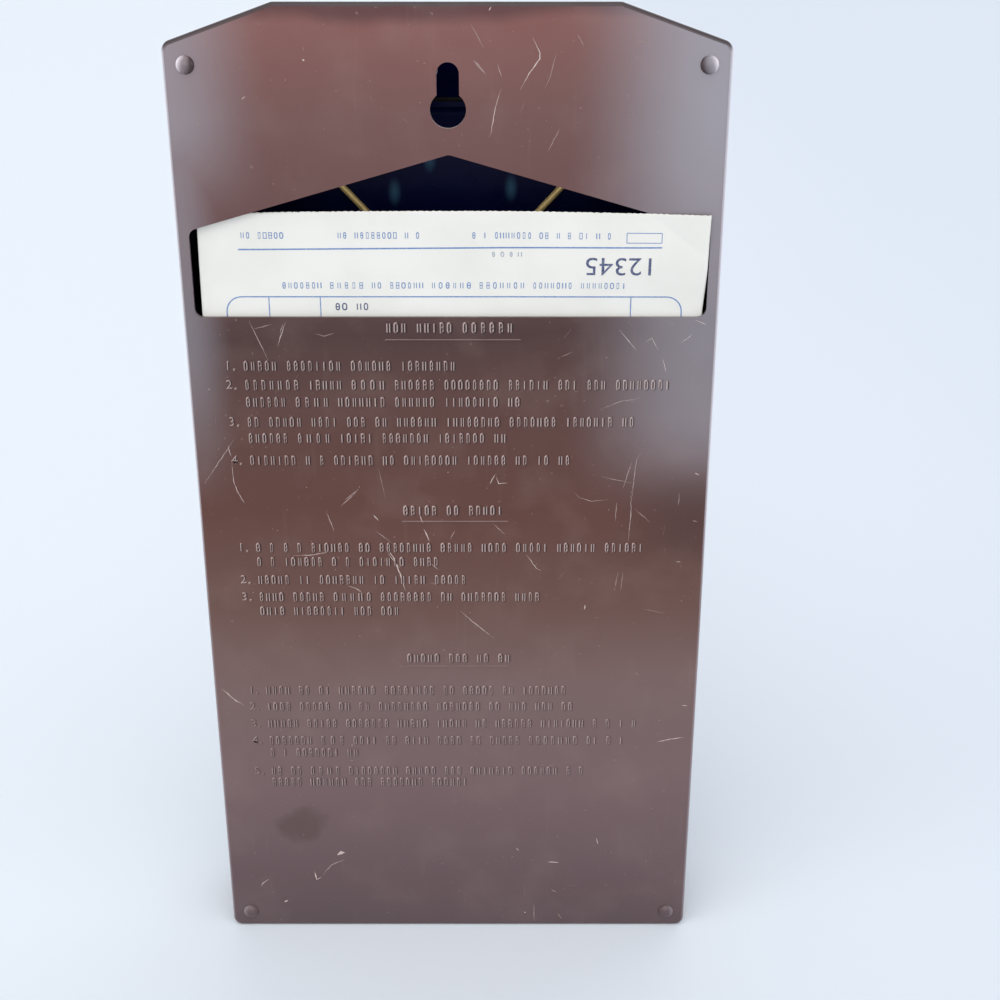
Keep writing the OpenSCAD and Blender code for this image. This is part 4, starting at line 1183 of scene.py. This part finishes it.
@dataclass
class LastForm:
    """The pack's last form and its copy, which show in the opening with a torn edge to the rear.

    The right side bulges out through the opening, and the corner there is folded out over
    the slanted edge.
    """

    thickness: float = 0.11
    rest_depth: float = 1.33
    columns: int = 340
    lower_rows: int = 10
    upper_rows: int = 58
    # Height above which the sheet shows and is finely divided
    shelf: float = 204.0
    edge_height: float = 236.35
    edge_drop: float = 0.72
    perforation: float = 1.7
    nib: float = 0.16
    fray: float = 0.07
    bulge: float = 1.46
    wave: float = 0.12
    tuck: float = 0.35
    fold: float = 1.3
    fold_bend: float = 7.0
    fold_start: Flat = (54.3, 236.1)
    fold_way: Flat = (0.614, 0.789)
    ink_lift: float = 0.03

    def left_edge(self, z: float) -> float:
        """Returns the sheet's left edge at a height."""
        return -68.9 + 0.25 * smooth(z, 200, 36)

    def right_edge(self, z: float) -> float:
        """Returns the sheet's right edge at a height, which bellies a little."""
        return 69.6 + 0.95 * smooth(z, 206, 20) + 0.12 * math.sin((z - 206) / 4.5)

    def torn_edge(self, x: float, chance: random.Random) -> float:
        """Returns the height of the torn edge, with the nibs of its perforation."""
        nib = self.nib * abs(math.sin(math.pi * x / self.perforation)) ** 0.7
        edge = self.edge_height - self.edge_drop * (x / 70) ** 2
        return edge + nib + chance.uniform(-self.fray, self.fray)

    def depth(self, x: float, z: float) -> float:
        """Returns how deep the sheet's printed face lies behind the underside."""
        bulge = self.bulge * smooth(x, 8, 50) * smooth(z, 208.5, 15)
        wave = self.wave * math.sin(x / 17) * smooth(z, 212, 14)
        off = (x - self.fold_start[0]) * self.fold_way[0] + (z - self.fold_start[1]) * self.fold_way[1]
        fold = self.fold * (1 - math.exp(-max(off, 0) / self.fold_bend))
        tucked = self.tuck * smooth(-x, 50, 12) * smooth(z, 222, 10)
        return self.rest_depth - bulge - fold + max(wave, 0) + tucked

    def place(self, x: float, z: float) -> Vector:
        """Returns a point just off the printed face, in metres."""
        return spot(x, self.depth(x, z) - self.ink_lift, z)

    def build(self) -> None:
        """Builds both sheets and what is printed on the first."""
        self.sheet("last_form_sheet", "last_form_original", "form_paper", FORM_PAPER, 0.0, 0.0)
        self.sheet("last_form_copy_sheet", "last_form_copy", "copy_paper", COPY_PAPER, 0.3, 0.9)
        self.print_form()

    def sheet(self, name: str, node: str, slot: str, finish: Finish, behind: float,
              inset: float) -> None:
        """Builds one sheet with its torn edge.

        Args:
            name: Name of the piece.
            node: The frame's node that it replaces.
            slot: The material slot of that node; not used.
            finish: The paper.
            behind: How far it lies behind the printed face of the first sheet.
            inset: How much its sides and its torn edge stay back from the first sheet's.
        """
        chance = random.Random(23)
        foot = node_box("last_form_original")[0].z / MM
        lower = [foot + (self.shelf - foot) * i / self.lower_rows for i in range(self.lower_rows)]
        count = self.lower_rows + self.upper_rows + 1
        left_end, right_end = self.left_edge(236), self.right_edge(236)
        points: list[Vector] = []
        for i in range(self.columns + 1):
            share = i / self.columns
            edge = self.torn_edge(left_end + (right_end - left_end) * share, chance) - inset
            upper = [self.shelf + (edge - self.shelf) * k / self.upper_rows
                     for k in range(self.upper_rows + 1)]
            for z in lower + upper:
                left = self.left_edge(z) + inset
                x = left + (self.right_edge(z) - inset - left) * share
                points.append(spot(x, self.depth(x, z) + behind, z))
        faces = [(a, a + count, a + count + 1, a + 1) for i in range(self.columns)
                 for a in range(i * count, (i + 1) * count - 1)]
        sheet = make_piece(name, points, faces, finish.material(), True)
        solid = sheet.modifiers.new("thickness", "SOLIDIFY")
        solid.thickness = self.thickness * MM
        solid.offset = -1.0
        sheet = freeze(sheet)
        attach(sheet, "base")
        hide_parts(node)
        LOG.info("%s: %d faces", name, len(faces))

    def print_form(self) -> None:
        """Prints the foot of the form: rules, a frame, rows of small marks and a number."""
        # A rule under the stub, the columns' frame and its dividers, and an empty frame
        rules = Shape(self.place)
        rules.rule((-57.8, 225.9), (57.7, 226.75), 0.42)
        rules.arch(-62.0, 63.9, 212.7, 204.5, 4.3, 0.36)
        for x in (-50.2, -36.0, 49.8):
            rules.rule((x, 212.5), (x, 204.5), 0.3)
        rules.frame(48.1, 57.6, 228.0, 230.7, 0.22)
        rules.piece("form_rules", RULE_INK, "base")
        number = Shape(self.place)
        number.digits(plain_number("12345", 5.0, 0.0, 0.01), 46.6, 221.7, -1, 1.12)
        number.piece("form_number", NUMBER_INK, "base")
        for name, rows, size, ink, seed in (
                ("form_small_print",
                 ((-57.2, -44.2, 229.8), (-30.8, -7.9, 229.8), (5.8, 45.0, 229.8)),
                 MarkSize(1.5, 0.85, 1.6, 0.3, 0.01, 0.6), RULE_INK, 31),
                ("form_sentence", ((-46.6, 49.6, 215.9),),
                 MarkSize(1.62, 0.92, 1.6, 0.3, 0.01, 0.55), RULE_INK, 37),
                ("form_worn_word", ((11.0, 24.0, 224.6),),
                 MarkSize(1.8, 0.9, 1.2, 0.3, 0.01, 0.5), FAINT_INK, 41),
                ("form_column_head", ((-32.2, -21.3, 209.9),),
                 MarkSize(1.9, 1.1, 1.8, 0.38, 0.01, 0.8), NUMBER_INK, 43)):
            piece = MarkRows().build(name, rows, 0.0, size, ink, seed)
            for vertex in piece.data.vertices:
                vertex.co.y += self.place(vertex.co.x / MM, vertex.co.z / MM).y
            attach(piece, "base")


@dataclass
class TopForm:
    """What is printed on the form that lies on the writing plate, read from the cover's side."""

    lift: float = 0.03
    side: float = 55.0
    foot: float = 60.0
    rows: int = 11
    row_height: float = 8.5

    def place(self, right: float, up: float) -> Vector:
        """Returns the point on the form. Right is -X when it is read from the cover's side."""
        _, high = node_box("top_form_original")
        return Vector((-right * MM, high.y + self.lift * MM, up * MM))

    def build(self) -> None:
        """Prints a frame with columns and rows, address rules, headings and a number."""
        # Three address rules, the columns' frame, the rule under its heads, rows and dividers
        rules = Shape(self.place)
        for z in (196, 187.5, 179):
            rules.rule((-54, z), (54, z), 0.3)
        rules.arch(-self.side, self.side, 172, self.foot, 4.3, 0.4)
        rules.rule((-self.side, 163), (self.side, 163), 0.35)
        for row in range(self.rows):
            z = 154.5 - self.row_height * row
            rules.rule((-self.side, z), (self.side, z), 0.2)
        for x in (-42, 18, 36):
            rules.rule((x, 172), (x, self.foot), 0.3)
        number = Shape(self.place)
        number.digits(plain_number("12344", 5.0), 42, 218, 1, 1.12)
        for shape, name, ink in ((rules, "top_form_rules", RULE_INK),
                                 (number, "top_form_number", NUMBER_INK)):
            shape.faces = [face[::-1] for face in shape.faces]
            shape.piece(name, ink, "plate")
        for name, rows, size, seed in (
                ("top_form_title", ((-54, -4, 219),), MarkSize(3.1, 1.8, 2.6, 0.5, 0.02), 47),
                ("top_form_headings",
                 ((-54, -22, 213), (-54, -30, 209.5), (-54, -44, 198), (-54, -44, 189.5),
                  (-54, -44, 181), (20, 28, 198), (-52, -44, 167), (-22, -4, 167), (21, 33, 167),
                  (39, 52, 167)), MarkSize(1.5, 0.85, 1.3, 0.28, 0.01), 53)):
            turned = [(-end, -start, height) for start, end, height in rows]
            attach(MarkRows().build(name, turned, self.place(0, 0).y, size, RULE_INK, seed),
                    "plate")


@dataclass
class LeverSprings:
    """The lever's two torsion springs, wound round the shaft from a leg under the lever."""

    wire: float = 0.9
    mean_radius: float = 3.2
    curls: int = 4
    gap: float = 0.5
    first_x: float = 62.75
    shaft_height: float = 20.5
    shaft_at: float = 82.0
    leg: float = 17.0
    leg_depth: float = 21.45
    peg_x: float = 71.75
    peg_at: float = 96.0
    rings: int = 20
    sides: int = 10

    def line(self, side: int) -> list[Vector]:
        """Returns the middle line of a spring in millimetres. side is -1 for the left one."""
        low = self.shaft_height - self.mean_radius
        pitch = self.wire + self.gap
        end_x = self.first_x + self.curls * pitch
        foot = self.shaft_at - self.leg
        points = [(self.first_x, self.leg_depth, foot), (self.first_x, self.leg_depth, foot + 5),
                  (self.first_x, (self.leg_depth + low) / 2 - 0.6, self.shaft_at - 5.5)]
        for i in range(self.curls * self.rings + 1):
            turn = 2 * math.pi * i / self.rings - math.pi / 2
            points.append((self.first_x + pitch * i / self.rings,
                           self.shaft_height + self.mean_radius * math.sin(turn),
                           self.shaft_at + self.mean_radius * math.cos(turn)))
        points += [(end_x, low, self.shaft_at + 6), (end_x + 0.9, low, self.shaft_at + 9),
                   (self.peg_x, low, self.peg_at - 1.5), (self.peg_x, low, self.peg_at + 3)]
        return [Vector((side * x, depth, z)) for x, depth, z in points]

    def build(self) -> None:
        """Builds both springs as round wire along their lines."""
        for side, name in ((-1, "left"), (1, "right")):
            line = self.line(side)
            points: list[Vector] = []
            for i, point in enumerate(line):
                along = (line[min(i + 1, len(line) - 1)] - line[max(i - 1, 0)]).normalized()
                across = along.cross(Vector((1, 0.13, 0.08))).normalized()
                up = across.cross(along)
                for k in range(self.sides):
                    turn = 2 * math.pi * k / self.sides
                    out = across * math.cos(turn) + up * math.sin(turn)
                    points.append(point + out * self.wire / 2)
            spring = Shape()
            spring.add(points, [*tube_faces(len(line), self.sides),
                                tuple(reversed(range(self.sides))),
                                tuple(range(len(points) - self.sides, len(points)))])
            piece = spring.piece(f"{name}_torsion_spring", SPRING_STEEL, "base", True)
            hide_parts(f"{name}_lever_spring")


class CarriedOver:
    """The frame's own nodes, which keep their shape and get a finish each."""

    finishes: tuple[tuple[Finish, tuple[str, ...]], ...] = (
        (CASE_ENAMEL, ("base_tray", "cover_shell")),
        (FORM_PAPER, ("top_form_original",)),
        (COPY_PAPER, ("top_form_copy",)),
        (PLATE_ENAMEL, ("writing_plate",)),
        (GOLD_WIRE, ("form_hold_down_wire",)),
        (SPRING_STEEL, ("wire_straps", "shaft_clips")),
        (BRIGHT_STEEL, ("lever_shaft", "left_feed_pin", "right_feed_pin", "tear_bar")),
        (ZINC_STEEL, ("release_lever", "form_guide", "cover_rivets", "latch_rivets")),
        (BLACK_STEEL, ("latch_foot", "latch_leaf")),
        (BUTTON_ABS, ("release_button", "latch_pad")))

    def build(self) -> None:
        """Gives every carried-over node its finish."""
        for finish, names in self.finishes:
            material = finish.material()
            for name in names:
                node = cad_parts[name]
                if not node.material_slots:
                    node.data.materials.append(material)
                for slot in node.material_slots:
                    slot.material = material
            LOG.info("%s: %s", finish.name, ", ".join(names))


@dataclass
class Studio:
    """The pale floor, the soft lights and the camera at the photograph's viewpoint."""

    lens: float = 54.2
    sensor: float = 36.0
    pitch_down: float = 22.86
    camera_x: float = 13.66
    camera_height: float = 322.5
    camera_distance: float = 403.6
    floor_side: float = 12.0
    world_level: float = 0.5
    # Where the lamps are aimed, in metres
    aim: tuple[float, float, float] = (0.0, 0.0, 0.15)

    def build(self) -> None:
        """Builds the floor, the world, the lamps and the camera."""
        self.floor()
        self.world()
        for name, place, strength, spread, colour in (
                ("high_windows", (-0.08, -0.55, 1.0), 1.4, 60, "#fffdf9"),
                ("rear_fill", (0.3, 1.0, 0.7), 0.7, 80, "#f6faff"),
                ("front_windows", (-0.04, -1.0, 0.27), 0.9, 40, "#fffdf9")):
            self.lamp("SUN", name, place, strength, angle=math.radians(spread),
                      color=srgb(colour)[:3])
        for name, x in (("side_panel_left", -3.0), ("side_panel_right", 3.0)):
            self.lamp("AREA", name, (x, -1.5, 1.0), 14.0, size=1.6)
        self.camera()

    def floor(self) -> None:
        """Builds the floor that the case stands on."""
        half = self.floor_side / 2
        corners = [Vector((x * half, y * half + half / 2, 0))
                   for x, y in ((-1, -1), (1, -1), (1, 1), (-1, 1))]
        make_piece("studio_floor", corners, [(0, 1, 2, 3)], STUDIO_PAPER.material())

    def world(self) -> None:
        """Lights the scene evenly, and shows the camera a white background."""
        world = bpy.data.worlds.new("studio_world")
        bpy.context.scene.world = world
        world.use_nodes = True
        world.node_tree.nodes.clear()
        graph = Graph(world.node_tree)
        path = graph.node("ShaderNodeLightPath").outputs
        seen = path["Is Camera Ray"]
        for ray in ("Is Transmission Ray", "Is Glossy Ray"):
            seen = graph.add(MATH, (seen, path[ray]), operation="MAXIMUM")
        level = graph.add(MAP_RANGE, {"Value": seen, "To Min": self.world_level, "To Max": 1.0})
        light = graph.add("ShaderNodeBackground", {"Color": srgb("#f3f6ff"), "Strength": level})
        graph.node("ShaderNodeOutputWorld", {"Surface": light})

    def lamp(self, kind: str, name: str, place: tuple[float, float, float], energy: float,
             **settings: object) -> None:
        """Adds a lamp that faces the middle of the case.

        Args:
            kind: Blender's type of light: a sun is as strong everywhere, and an area is a
                square panel, which the gloss on the bends picks up.
            name: Name of the light.
            place: Its place in metres. A sun shines from that way.
            energy: Its strength, or its power in watts for a panel.
            settings: Its other properties, such as the angle of sky that a sun fills.
        """
        light = bpy.data.lights.new(name, kind)
        light.energy = energy
        for setting, value in settings.items():
            setattr(light, setting, value)
        lamp = bpy.data.objects.new(name, light)
        lamp.location = place
        lamp.rotation_euler = (Vector(self.aim) - Vector(place)).to_track_quat("-Z", "Y").to_euler()
        bpy.context.scene.collection.objects.link(lamp)

    def camera(self) -> None:
        """Places the camera in front of the underside, looking down at it."""
        lens = bpy.data.cameras.new("camera")
        lens.lens = self.lens
        lens.sensor_width = self.sensor
        camera = bpy.data.objects.new("camera", lens)
        camera.location = spot(self.camera_x, -self.camera_distance, self.camera_height)
        camera.rotation_euler = (math.radians(90 - self.pitch_down), 0, 0)
        bpy.context.scene.collection.objects.link(camera)
        bpy.context.scene.camera = camera
        bpy.context.scene.view_settings.view_transform = "Standard"


def main() -> None:
    """Builds every sub-assembly in order."""
    logging.basicConfig(level=logging.INFO, format="%(message)s")
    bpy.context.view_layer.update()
    for part in (CarriedOver(), PressedDirections(), PressedFeet(), WearMarks(), LastForm(), TopForm(),
                 LeverSprings(), Studio()):
        part.build()
        LOG.info("built %s", type(part).__name__)


if __name__ == "__main__":
    main()
